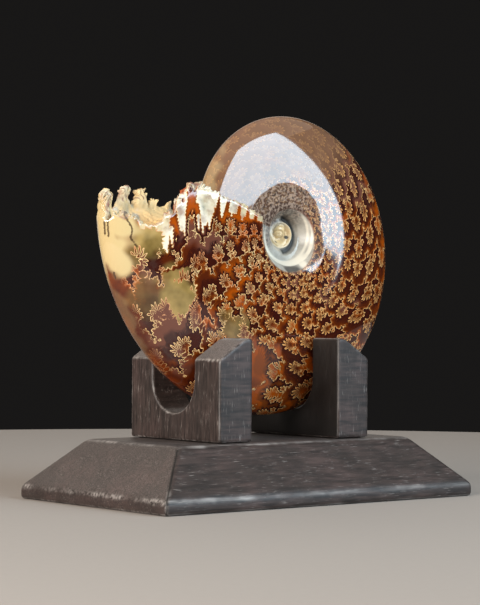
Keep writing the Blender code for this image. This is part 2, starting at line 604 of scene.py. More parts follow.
@dataclass
class Saddle:
    """One lobe of a seam, drawn out: a stalk that carries fingered leaves.

    Lengths are millimetres. The stalk stands on the seam's hollow line and
    points to the broken end.

    Attributes:
        centre: The stalk's place along the section.
        foot: Where the hollow line runs.
        tip: How far ahead the lobe reaches.
        width: The room it has.
        rng: Where its irregularity comes from.
        plain: Whether the break cut its leaves off, leaving a bare stalk.
    """

    centre: float
    foot: float
    tip: float
    width: float
    rng: np.random.Generator
    plain: bool = False

    def bars(self) -> list[Bar]:
        """List the bars that make up the lobe.

        Returns:
            The stalk, the head and the sprays beside it.
        """
        w, rng = self.width, self.rng
        length = self.tip - self.foot
        if self.plain:
            return [Bar(self.foot - 2.0, self.centre, self.tip, self.centre, 0.46 * w, 0.30 * w,
                        reach=0.5)]
        head = min(0.26 * w, 0.30 * length) * rng.uniform(0.88, 1.12)
        reach = 1.2 + 0.23 * w
        top = self.tip - head - 0.45 * reach
        lean = rng.uniform(-0.12, 0.12)
        bend = lean * (top - self.foot)
        c = self.centre
        neck = max(top - 0.8 * head, self.foot)
        made = [Bar(self.foot - 2.0, c, neck, c + 0.9 * bend, 0.21 * w, 0.45 * head,
                    reach=0.5 * reach)]
        if w > 7.0 and rng.uniform() < 0.45:
            for side in (-1, 1):
                x = top - rng.uniform(0.0, 0.10) * length
                y = c + bend + side * rng.uniform(0.14, 0.19) * w
                made.append(Bar(x, y, x, y, 0.75 * head, 0.75 * head, 0.25 * side, 0.85 * reach))
        else:
            made.append(Bar(top, c + bend, top, c + bend, head, head, lean, reach))
        sprays = [(0.52, 0.31, 0.125, 0.7), (0.88, 0.30, 0.095, 1.1)] if w > 8.5 else []
        if not sprays and length > 0.9 * w:
            sprays = [(0.66, 0.32, 0.110, 0.8)]
        for back, out, size, heading in sprays:
            for side in (-1, 1):
                if rng.uniform() < 0.15:
                    continue
                x = self.tip - (back + rng.uniform(-0.13, 0.13)) * length
                y = c + bend * 0.5 + side * (out + rng.uniform(-0.05, 0.05)) * w
                disc = size * w * rng.uniform(0.7, 1.3)
                stem = max(0.055 * w, 0.35)
                root = c + bend * 0.4 + side * 0.08 * w
                made.append(Bar(x - 0.34 * w, root, x, y, 1.2 * stem, 0.5 * disc, reach=0.5))
                made.append(Bar(x, y, x, y, disc, disc, side * heading,
                                min(0.8 * reach, 1.4 * disc)))
        return made

    def prongs(self) -> list[Bar]:
        """List the bars of the sharp hollow beside the lobe, pointing back.

        Returns:
            The prong and its side prongs.
        """
        edge = self.centre - 0.56 * self.width
        deep = 0.36 * (self.tip - self.foot)
        base = 0.055 * self.width + 0.25
        reach = 0.06 * self.width + 0.3
        lean = self.rng.uniform(-0.25, 0.25) * deep
        made = [Bar(self.foot + 0.4, edge, self.foot - deep, edge + lean, base, 0.12, reach=reach)]
        for side in (-1, 1):
            if self.rng.uniform() < 0.35:
                continue
            x = self.foot - deep * self.rng.uniform(0.1, 0.5)
            y = edge + side * deep * self.rng.uniform(0.25, 0.45)
            made.append(Bar(x, edge, x - deep * self.rng.uniform(0.2, 0.5), y, base * 0.7, 0.10,
                            reach=reach))
        return made


@dataclass(frozen=True)
class Patch:
    """A stretch of the shell that stands out from what lies around it.

    Attributes:
        angle: Middle, in degrees counterclockwise seen from the front.
        share: Middle along the section, 0 at the navel and 1 at the rim.
        long: Half length along the spiral, in millimetres.
        wide: Half width across it, in millimetres.
        after: For a clear window, the number of the seam ahead of it.
        strength: How strong its tint is.
    """

    angle: float
    share: float
    long: float
    wide: float
    after: int = 0
    strength: float = 1.0


@dataclass(frozen=True)
class Drip:
    """A white spike of the last chamber wall that runs back into the flank.

    Attributes:
        share: Where along the section, 0 at the navel and 1 at the rim.
        top: Angle of its root, in degrees.
        tip: Angle of its point.
        wide: Half width at the root, in millimetres.
        fine: Half width at the point.
        slant: How far the point lies off to the rim's side, as a share.
    """

    share: float
    top: float
    tip: float
    wide: float
    fine: float = 0.2
    slant: float = 0.0


@dataclass
class Seams:
    """The leafy lines where each chamber wall met the shell.

    Every seam repeats one row of lobes. Its round leaflets point to the broken
    end, its sharp prongs point back, and no seam crosses the next.
    """

    spiral: Spiral = SPIRAL
    first: float = math.radians(-1.7)
    spacing: float = math.radians(14.6)
    count: int = 25
    margin: float = 0.9
    recess: float = 0.66
    lean_in: float = 0.21
    pitch: float = 1.6
    lobes: tuple[Lobe, ...] = (
        Lobe(0.945, 0.110, 0.92),
        Lobe(0.815, 0.138, 1.00),
        Lobe(0.680, 0.130, 1.06),
        Lobe(0.552, 0.122, 1.04),
        Lobe(0.438, 0.104, 1.00),
        Lobe(0.342, 0.088, 1.00),
        Lobe(0.260, 0.074, 1.00),
        Lobe(0.190, 0.062, 1.00),
        Lobe(0.132, 0.050, 1.00),
    )
    last_lobes: tuple[Lobe, ...] = (
        Lobe(0.985, 0.060, 1.00), Lobe(0.835, 0.090, 1.05), Lobe(0.742, 0.042, 0.72),
        Lobe(0.640, 0.046, 0.78), Lobe(0.556, 0.074, 1.10), Lobe(0.405, 0.050, 1.00),
        Lobe(0.358, 0.034, 1.05), Lobe(0.287, 0.036, 1.00), Lobe(0.235, 0.034, 1.00),
        Lobe(0.185, 0.030, 1.00),
    )
    drips: tuple[Drip, ...] = (
        Drip(0.915, 173.0, 178.2, 3.6, 1.4), Drip(0.945, 175.0, 180.2, 1.3),
        Drip(0.920, 176.0, 179.6, 1.2), Drip(0.885, 176.0, 179.8, 1.1),
        Drip(0.968, 175.0, 181.0, 1.0), Drip(0.775, 174.0, 179.2, 3.2, 1.5),
        Drip(0.792, 176.0, 180.6, 0.9), Drip(0.760, 176.0, 180.9, 0.9),
        Drip(0.690, 177.0, 185.0, 2.7, 1.3), Drip(0.693, 182.0, 189.6, 1.4),
        Drip(0.722, 179.0, 184.6, 1.4), Drip(0.660, 180.0, 186.0, 1.1),
        Drip(0.707, 182.0, 187.2, 0.8), Drip(0.602, 170.0, 180.0, 2.6, 0.8),
        Drip(0.590, 176.0, 182.0, 1.0), Drip(0.478, 166.0, 177.0, 4.3, 1.2),
        Drip(0.453, 172.0, 179.4, 1.3), Drip(0.490, 174.0, 181.4, 1.0),
        Drip(0.512, 174.0, 180.2, 0.9), Drip(0.325, 162.0, 170.4, 1.2, 0.2),
        Drip(0.262, 162.0, 172.4, 1.5, 0.2), Drip(0.210, 162.0, 169.6, 1.0, 0.2),
        Drip(0.381, 162.0, 172.8, 2.0, 0.3), Drip(0.450, 170.0, 176.6, 2.4, 0.4),
    )
    windows: tuple[Patch, ...] = (
        Patch(204.5, 0.690, 9.0, 7.0, 1),
        Patch(197.5, 0.735, 5.0, 2.6, 1),
        Patch(199.5, 0.860, 6.5, 5.5, 1),
        Patch(183.0, 0.780, 5.5, 7.5, 0),
        Patch(188.5, 0.868, 3.2, 3.2, 0),
        Patch(228.5, 0.570, 5.5, 5.5, 4),
        Patch(250.0, 0.690, 8.0, 12.0, 5),
        Patch(190.5, 0.705, 4.0, 6.0, 0),
    )
    seed: int = 11

    def measure(self, angle: Array, r: Array, y: Array) -> tuple[Array, Array]:
        """Unroll places on the shell.

        Args:
            angle: The whorl's turned angle.
            r: Distance from the spiral's centre.
            y: Distance from the middle plane.

        Returns:
            The angle turned since the shell's end, and the length along the
            section as a share of the flank's girth.
        """
        radius = self.spiral.radius(angle)
        share = self.spiral.girth(r / radius, y / radius) / GIRTH
        return angle - self.spiral.start, share

    def reach(self, radius: Array, share: Array) -> Array:
        """Give the distance from the spiral's centre, from the girth's share."""
        return radius * (0.16 + 0.80 * np.clip(share, 0.0, 1.0) ** 0.8)

    def saddle(self, seam: int, lobe: Lobe) -> Saddle:
        """Lay out one lobe of one seam.

        Args:
            seam: Number of the seam, counted from the broken end.
            lobe: Which of its lobes.

        Returns:
            The lobe, in millimetres from the seam's line and the navel's seam.
        """
        rng = np.random.default_rng(self.seed + 97 * seam + int(lobe.at * 1000))
        place = self.spiral.start + self.first + seam * self.spacing
        girth = GIRTH * float(self.spiral.radius(place))
        pitch = self.spacing * float(self.reach(girth / GIRTH, lobe.at))
        width = 0.90 * lobe.width * girth * rng.uniform(0.88, 1.10)
        centre = lobe.at * girth + rng.uniform(-0.08, 0.08) * width
        tip = (lobe.length - 1.0 + rng.uniform(-0.12, 0.10)) * pitch
        return Saddle(centre, -self.recess * pitch, tip, width, rng, seam == 0)

    def spike(self, seam: int, drip: Drip, spare: float) -> Bar:
        """Place one drip in millimetres from a seam's own line.

        Args:
            seam: Number of the seam.
            drip: The drip.
            spare: Room to leave around it.

        Returns:
            The drip as a tapered bar.
        """
        ends = []
        for angle, share in ((drip.top, drip.share), (drip.tip, drip.share + drip.slant)):
            turned = math.radians(angle) - self.spiral.start
            radius = float(self.spiral.radius(math.radians(angle)))
            ahead = float(self.ahead(seam, turned, share)) * float(self.reach(radius, share))
            ends += [ahead, share * GIRTH * radius]
        return Bar(*ends, drip.wide + spare, drip.fine + spare, reach=0.5)

    def ahead(self, seam: int, turned: Array, share: Array) -> Array:
        """Angle from each place back to one seam's own line.

        The line runs straight across the outer flank and bends ahead on the
        inner flank.
        """
        advance = self.lean_in * smoothstep((0.80 - share) / 0.30)
        return self.first + seam * self.spacing - advance - turned

    def course(self, seam: int, turned: Array, share: Array) -> Course:
        """Work out one seam's own course.

        Args:
            seam: Number of the seam, counted from the broken end.
            turned: Angle turned since the shell's end.
            share: Length along the section, as a share of the flank's girth.

        Returns:
            The seam's field at each place.
        """
        radius = self.spiral.radius(turned + self.spiral.start)
        across = share * GIRTH * radius
        flat = self.reach(radius, share)
        before = self.ahead(seam, turned, share)
        level = (before + self.recess * self.spacing) * flat
        made = Course(level, across / self.pitch, np.full(len(turned), 0.7))
        near = np.nonzero(np.abs(before) < 1.8 * self.spacing)[0]
        if len(near) == 0:
            return made
        px, py, inner = (before * flat)[near], across[near], made.part(near)
        for lobe in self.last_lobes if seam == 0 else self.lobes:
            saddle = self.saddle(seam, lobe)
            room = np.nonzero(np.abs(py - saddle.centre) < 0.75 * saddle.width + 2.5)[0]
            here = inner.part(room)
            pitch = min(1.5 * self.pitch, 0.95 + 0.130 * saddle.width)
            here.join(px[room], py[room], saddle.bars(), pitch, 1)
            if seam > 0:
                here.join(px[room], py[room], saddle.prongs(), pitch, -1)
            inner.put(room, here)
        if seam < 2:
            spikes = [self.spike(seam, drip, 1.4 * seam) for drip in self.drips]
            inner.join(px, py, spikes, 1.6, -1)
        made.put(near, inner)
        return made

    def trace(self, turned: Array, share: Array) -> dict[str, Array]:
        """Find which chamber each place belongs to.

        Args:
            turned: Angle turned since the shell's end.
            share: Length along the section, as a share of the flank's girth.

        Returns:
            The finish's fields: "chamber" passes a whole number at each seam,
            "gap" is the distance between the seams before and behind, and
            "finger" and "reach" shape the fringe of the nearer one.
        """
        rows = [self.course(seam, turned, share) for seam in range(self.count + 2)]
        clear = self.open_windows(rows, turned, share)
        for row, older in zip(rows[-2::-1], rows[:0:-1]):
            pushed = older.level - self.margin < row.level
            row.level = np.where(pushed, older.level - self.margin, row.level)
            row.finger = np.where(pushed, older.finger, row.finger)
            row.reach = np.where(pushed, older.reach * 0.5, row.reach)
        levels = np.stack([row.level for row in rows])
        passed = np.clip((levels < 0).sum(axis=0), 1, self.count + 1)
        column = np.arange(len(turned))
        inward = np.abs(levels[passed - 1, column])
        outward = np.abs(levels[passed, column])
        gap = np.maximum(inward + outward, 0.05)
        nearest = np.where(levels[0] > 0, 0, np.where(inward > outward, passed, passed - 1))
        finger = np.stack([row.finger for row in rows])[nearest, column]
        reach = np.stack([row.reach for row in rows])[nearest, column]
        chamber = passed + inward / gap
        first = levels[0] > 0
        chamber = np.where(first, 1.0 - np.minimum(levels[0], 5.9) / 6.0, chamber)
        gap = np.where(first, 6.0, gap)
        return {"chamber": chamber, "gap": gap, "finger": finger, "clear": clear,
                "reach": np.clip(reach, -0.8 * gap, 0.8 * gap)}

    def open_windows(self, rows: list[Course], turned: Array, share: Array) -> Array:
        """Push seams aside where a chamber is wide and clear.

        Round lobes hang into a window from the seam ahead of it.

        Args:
            rows: Every seam's course; two are changed for each window.
            turned: Angle turned since the shell's end.
            share: Length along the section, as a share of the flank's girth.

        Returns:
            The chamber number of the window nearby, or -1 far from any.
        """
        radius = self.spiral.radius(turned + self.spiral.start)
        closest = np.full(len(turned), 1.0)
        clear = np.full(len(turned), -1.0)
        for n, window in enumerate(self.windows):
            place = math.radians(window.angle) - self.spiral.start
            u = (turned - place) * self.reach(radius, window.share) / window.long
            v = (share - window.share) * GIRTH * radius / window.wide
            spot = np.stack([u * window.long, v * window.wide, 0.0 * u], axis=1)
            ripple = 1.5 * cloud(spot, 4.5, 60 + n) + 0.7 * cloud(spot, 1.9, 70 + n)
            size = min(window.long, window.wide)
            edge = (np.hypot(u, v) - 1.0) * size + ripple
            round_lobes = np.arctan2(v, u) * (size + 1.0) / 2.4
            for seam, sign, reach in ((window.after, 1, -1.7), (window.after + 1, -1, 1.4)):
                row = rows[seam]
                moved = edge < row.level if sign > 0 else -edge > row.level
                row.level = np.where(moved, sign * edge, row.level)
                row.finger = np.where(moved, round_lobes, row.finger)
                row.reach = np.where(moved, reach, row.reach)
            distance = edge / size
            nearer = distance < closest
            closest = np.where(nearer, distance, closest)
            clear = np.where(nearer, window.after + 1.0, clear)
        return clear


# ------------------------------------------------------------ stone's finishes


class Mineral(Enum):
    """What tints the calcite, and where each lies thickest.

    Angles run on past a full turn to the top of the previous whorl.
    """

    OLIVE = (Patch(203, 0.70, 12, 8), Patch(199, 0.86, 8, 7, strength=0.3),
             Patch(225, 0.54, 9, 8, strength=0.6), Patch(183, 0.79, 8, 9),
             Patch(188, 0.87, 5, 5, strength=0.6))
    MAUVE = (Patch(190, 0.79, 7, 5), Patch(209, 0.81, 11, 6), Patch(214, 0.71, 5, 4),
             Patch(185, 0.45, 6, 8), Patch(218, 0.88, 14, 6), Patch(181, 0.60, 6, 8),
             Patch(455, 0.90, 60, 14), Patch(417, 0.80, 26, 18), Patch(400, 0.66, 16, 12),
             Patch(490, 0.80, 30, 9))
    EMBER = (Patch(207, 0.34, 9, 7), Patch(221, 0.43, 8, 6), Patch(251, 0.64, 14, 11),
             Patch(262, 0.84, 12, 9), Patch(359, 0.93, 30, 6), Patch(171, 0.56, 5, 5),
             Patch(172, 0.30, 6, 9), Patch(275, 0.95, 14, 8), Patch(177, 0.744, 3, 2.2),
             Patch(179, 0.640, 5, 2.4))
    PALE = (Patch(180, 0.98, 16, 11), Patch(189, 0.95, 8, 7), Patch(180, 0.885, 9, 9),
            Patch(507, 0.96, 14, 5, strength=0.35), Patch(205, 1.00, 20, 3.5, strength=0.14))


@dataclass(frozen=True)
class Stain:
    """A tinted area of the broken end.

    Attributes:
        mineral: What tints it.
        at: Share of the whorl's radius.
        y: Distance behind the middle plane, in millimetres.
        size: Radius in millimetres.
    """

    mineral: Mineral
    at: float
    y: float
    size: float


@dataclass(frozen=True)
class Bulb:
    """A ruffled knob on the broken end.

    Attributes:
        side: Which flank it grows from.
        at: Share of the whorl's radius.
        ahead: How far its tip stands past the broken line, in millimetres.
        width: Across the knob.
        thick: How far it reaches in from the flank.
        lean: How far the tip leans to the rim's side.
    """

    side: Side
    at: float
    ahead: float
    width: float
    thick: float = 4.0
    lean: float = 0.0


@dataclass(frozen=True)
class PolishedCalcite:
    """Calcite stained by iron, ground to shape and polished to a glass gloss.

    The chambers look like amber: glowing orange just inside their frilled
    walls, red brown to nearly black where deep, and in places olive or mauve.
    The walls are cream. The broken end stays as it split, dull and chalky.
    """

    cream: str = "#F0CB90"
    gilt: str = "#C87822"
    blush: str = "#C4855F"
    honey: str = "#9A4206"
    amber: str = "#6E3109"
    rust: str = "#4A1B08"
    umber: str = "#33100A"
    mauve: str = "#60382B"
    plum: str = "#38201B"
    olive: str = "#977C48"
    moss: str = "#574620"
    straw: str = "#BBA577"
    heart: str = "#D8B885"
    chalk: str = "#D6CBB8"
    ash: str = "#8F9084"
    clay: str = "#7A4C38"
    dust: str = "#8B7666"
    pearl: str = "#A79F92"
    # Near black, painted as shade in the navel's groove and its pits.
    groove_shade: str = "#14110C"
    silt: str = "#38261A"

    def make(self) -> bpy.types.Material:
        """Build the material.

        Returns:
            The finished material.
        """
        made, node = blank("polished_calcite")
        place = node("TexCoord", out="Object")
        tone = node("Attribute", out="Color", attribute_name="tone")
        olive, mauve, ember = (node("SeparateColor", {0: tone}, out=n) for n in range(3))
        pale = node("Attribute", out="Alpha", attribute_name="tone")
        state = node("Attribute", out="Color", attribute_name="state")
        plain, fresh, dusty = (node("SeparateColor", {0: state}, out=n) for n in range(3))
        pearly = node("Attribute", out="Alpha", attribute_name="state")
        chamber, gap, finger, reach, number, crack = (
            node("Attribute", out="Fac", attribute_name=label)
            for label in ("chamber", "gap", "finger", "reach", "clear", "crack"))

        # Fingers fringe every seam: round ahead, with sharp clefts between.
        size = node("Math", (reach,), operation="ABSOLUTE")
        wander = node("TexNoise", {"Vector": place, "Scale": 0.33 / MM, "Detail": 1.0})
        beat = node("Math", (finger, wander), operation="ADD")
        beat = node("Math", (beat, math.pi), operation="MULTIPLY")
        wave = node("Math", (beat,), operation="SINE")
        wave = node("Math", (wave,), operation="ABSOLUTE")
        wave = node("Math", (wave, 0.9), operation="POWER")
        steep = node("Math", (beat,), operation="COSINE")
        steep = node("Math", (steep, reach), operation="MULTIPLY")
        steep = node("Math", (steep, math.pi / 1.25), operation="MULTIPLY")
        steep = node("Math", (steep, steep, 1.0), operation="MULTIPLY_ADD")
        steep = node("Math", (steep,), operation="SQRT")
        petal = node("Math", (wave, 0.55), operation="SUBTRACT")
        petal = node("Math", (petal, reach), operation="MULTIPLY")
        petal = node("Math", (petal, gap), operation="DIVIDE")
        phase = node("Math", (chamber, 0.5), operation="PINGPONG")
        phase = node("Math", (phase, gap), operation="MULTIPLY")
        fringe = node("MapRange", (phase, 2.2, 4.2, 1.0, 0.0), **EASED)
        petal = node("Math", (petal, fringe), operation="MULTIPLY")
        value = node("Math", (chamber, petal), operation="ADD")
        part = node("Math", (value,), operation="FRACT")
        whole = node("Math", (value,), operation="FLOOR")
        lot = node("TexWhiteNoise", {"W": whole}, noise_dimensions="1D")
        rest = node("Math", (1.0, part), operation="SUBTRACT")
        inward = node("Math", (part, gap), operation="MULTIPLY")
        outward = node("Math", (rest, gap), operation="MULTIPLY")
        depth = node("MapRange", (inward, 0.0, size, steep, 1.0))
        near = node("Math", (inward, depth), operation="DIVIDE")

        # The wall's width swells and thins over about 6 mm. In the older chambers
        # it thickens at the fingertips and fades in the clefts between them.
        older = node("MapRange", (chamber, 3.5, 7.5, 0.10, 0.95))
        swell = node("TexNoise", {"Vector": place, "Scale": 0.17 / MM, "Detail": 2.0})
        width = node("MapRange", (swell, 0.35, 0.65, 0.20, 0.38))
        ripe = node("Math", (older, wave), operation="MULTIPLY")
        ripe = node("Math", (ripe, 0.8, 1.0), operation="MULTIPLY_ADD")
        width = node("Math", (width, ripe), operation="MULTIPLY")
        wall = node("MapRange", (near, 0.08, width, 1.0, 0.0), **EASED)
        cleft = node("Math", (1.0, wave), operation="SUBTRACT")
        cleft = node("Math", (cleft, older), operation="MULTIPLY")
        cleft = node("Math", (cleft, -0.85, 1.0), operation="MULTIPLY_ADD")
        wall = node("Math", (wall, cleft), operation="MULTIPLY")

        # Behind the wall the stone glows, then deepens.
        drift = node("TexNoise", {"Vector": place, "Scale": 0.075 / MM, "Detail": 3.0})
        warm = node("MapRange", (drift, 0.46, 0.66))
        glow = node("Mix", {0: warm, 6: linear(self.amber), 7: linear(self.honey)}, **COLOURS)
        glow = node("Mix", {0: mauve, 6: glow, 7: linear(self.mauve)}, **COLOURS)
        deep = node("Mix", {0: mauve, 6: linear(self.rust), 7: linear(self.mauve)}, **COLOURS)
        sunk = node("MapRange", (inward, 0.25, 1.5), **EASED)
        deep = node("Mix", {0: ember, 6: deep, 7: linear(self.honey)}, **COLOURS)
        leaf = node("Mix", {0: sunk, 6: glow, 7: deep}, **COLOURS)

        # In the older chambers the fingers pale towards their tips.
        reached = node("Math", (size, 0.60), operation="MULTIPLY")
        tip = node("MapRange", (inward, 0.0, reached, 1.0, 0.0))
        tip = node("Math", (tip, wave), operation="MULTIPLY")
        tip = node("Math", (tip, older), operation="MULTIPLY")
        leaf = node("Mix", {0: tip, 6: leaf, 7: linear(self.gilt)}, **COLOURS)

        # Ahead of the wall lies the darkest stone, lighter far from any seam.
        far = node("Mix", {0: lot, 6: linear(self.rust), 7: linear(self.umber)}, **COLOURS)
        far = node("Mix", {0: mauve, 6: far, 7: linear(self.plum)}, **COLOURS)
        far = node("Mix", {0: ember, 6: far, 7: linear(self.amber)}, **COLOURS)
        away = node("MapRange", (outward, 0.3, 2.6), **EASED)
        ground = node("Mix", {0: away, 6: linear(self.umber), 7: far}, **COLOURS)
        side = node("MapRange", (part, 0.34, 0.60), **EASED)
        body = node("Mix", {0: side, 6: leaf, 7: ground}, **COLOURS)
        newest = node("Math", (value, 1.0), operation="LESS_THAN")
        ashy = node("TexNoise", {"Vector": place, "Scale": 0.18 / MM, "Detail": 4.0})
        ashy = node("MapRange", (ashy, 0.46, 0.68))
        thick = node("MapRange", (outward, 0.4, 1.8))
        thick = node("Mix", {0: fresh, 2: thick, 3: 1.0}, out=0)
        ashy = node("Math", (ashy, thick), operation="MULTIPLY")
        white = node("Mix", {0: ashy, 6: linear(self.chalk), 7: linear(self.ash)}, **COLOURS)
        aged = node("MapRange", (drift, 0.40, 0.60, 0.0, 0.75))
        white = node("Mix", {0: aged, 6: white, 7: linear(self.straw)}, **COLOURS)
        stain = node("TexNoise", {"Vector": place, "Scale": 0.21 / MM, "Detail": 4.0})
        stain = node("MapRange", (stain, 0.50, 0.66))
        veined = node("Math", (stain, 0.6), operation="MULTIPLY")
        split = node("Mix", {0: veined, 6: white, 7: linear(self.clay)}, **COLOURS)
        body = node("Mix", {0: newest, 6: body, 7: split}, **COLOURS)

        # Clear stretches with no seams, and the upper whorl's pattern washed out as a painted
        # sheen.
        clear = node("Mix", {0: warm, 6: linear(self.rust), 7: linear(self.amber)}, **COLOURS)
        clear = node("Mix", {0: mauve, 6: clear, 7: linear(self.mauve)}, **COLOURS)
        mottled = node("MapRange", (drift, 0.36, 0.62))
        moss = node("Mix", {0: mottled, 6: linear(self.moss), 7: linear(self.olive)}, **COLOURS)
        within = node("Math", (whole, number, 0.4), operation="COMPARE")
        filled = node("Math", (olive, within), operation="MULTIPLY")
        for share, tint in ((plain, clear), (filled, moss), (pale, linear(self.straw))):
            body = node("Mix", {0: share, 6: body, 7: tint}, **COLOURS)

        # Walls are cream, and blush where iron got in.
        flush = node("MapRange", (drift, 0.42, 0.60))
        flush = node("Math", (flush, older), operation="SUBTRACT", use_clamp=True)
        line = node("Mix", {0: flush, 6: linear(self.cream), 7: linear(self.blush)}, **COLOURS)
        golden = node("Math", (older, 0.50), operation="MULTIPLY")
        line = node("Mix", {0: golden, 6: line, 7: linear(self.gilt)}, **COLOURS)
        bare = node("Math", (1.0, plain), operation="SUBTRACT")
        drawn = node("Math", (wall, bare), operation="MULTIPLY")
        skin = node("Mix", {0: drawn, 6: body, 7: line}, **COLOURS)

        # Fine dust sits in and around the pearly navel. Single grains are too fine
        # to show, so its specks are drawn about 1 mm apart.
        speck = node("TexNoise", {"Vector": place, "Scale": 0.9 / MM, "Detail": 2.0})
        speck = node("MapRange", (speck, 0.44, 0.60))
        paler = node("MapRange", (chamber, 14.5, 17.0, 0.25, 1.0))
        paler = node("Math", (speck, paler), operation="MULTIPLY")
        grain = node("Mix", {0: paler, 6: linear(self.silt), 7: linear(self.dust)}, **COLOURS)
        band = node("TexNoise", {"Vector": place, "Scale": 0.26 / MM, "Detail": 3.0})
        band = node("MapRange", (band, 0.35, 0.65, 0.70, 1.10))
        shell = node("Mix", {0: 1.0, 6: linear(self.pearl), 7: band}, blend_type="MULTIPLY",
                     **COLOURS)
        # In the navel the four tones give dust, a chalky line with the lip painted paler as light,
        # the cream heart, and near-black painted shade in the groove and pits.
        for share, tint in ((olive, grain), (ember, linear(self.chalk)),
                            (pale, linear(self.heart)), (mauve, linear(self.groove_shade))):
            shell = node("Mix", {0: share, 6: shell, 7: tint}, **COLOURS)
        strewn = node("Math", (dusty, 0.85), operation="MULTIPLY")

        # The split end is chalky, with brown clay veins; the hollows of its folds are painted clay
        # brown as shade.
        raw = node("Mix", {0: stain, 6: white, 7: linear(self.clay)}, **COLOURS)
        buff = node("Mix", {0: aged, 6: linear(self.cream), 7: linear(self.straw)}, **COLOURS)
        for share, tint in ((pale, buff), (olive, moss), (mauve, linear(self.clay)),
                            (ember, linear(self.honey))):
            raw = node("Mix", {0: share, 6: raw, 7: tint}, **COLOURS)
        ragged = node("MapRange", (speck, 0.0, 1.0, -0.15, 0.15))
        crack = node("Math", (crack, ragged), operation="ADD")
        crack = node("MapRange", (crack, 0.25, 0.55, 0.85, 0.0))
        for share, tint in ((pearly, shell), (strewn, grain), (fresh, raw),
                            (crack, linear(self.silt))):
            skin = node("Mix", {0: share, 6: skin, 7: tint}, **COLOURS)

        # Polished stone mirrors the lamps; dust, the split end and the navel don't.
        dull = node("Math", (dusty, 2.0), operation="MULTIPLY", use_clamp=True)
        rough = node("Math", (fresh, dull), operation="MAXIMUM")
        dirty = node("Math", (mauve, olive), operation="ADD", use_clamp=True)
        satin = node("MapRange", (dirty, 0.0, 1.0, 0.50, 1.0))
        satin = node("Math", (pearly, satin), operation="MULTIPLY")
        rough = node("Math", (rough, satin), operation="MAXIMUM")
        gloss = node("MapRange", (rough, 0.0, 1.0, 0.055, 0.68))
        swirl = node("TexNoise", {"Vector": place, "Scale": 0.06 / MM, "Detail": 1.0})
        grit = node("TexNoise", {"Vector": place, "Scale": 0.9 / MM, "Detail": 3.0})
        grit = node("Math", (grit, rough), operation="MULTIPLY")
        grit = node("Math", (grit, 6.0), operation="MULTIPLY")
        dent = node("Math", (swirl, grit), operation="ADD")
        bump = node("Bump", {"Height": dent, "Distance": 0.02 * MM, "Strength": 1.0})
        sheer = node("MapRange", (dull, 0.0, 1.0, 0.50, 0.14))
        shader = node("BsdfPrincipled", {"Base Color": skin, "Roughness": gloss, "IOR": 1.64,
                                         "Specular IOR Level": sheer, "Normal": bump})
        node("OutputMaterial", {"Surface": shader})
        return made


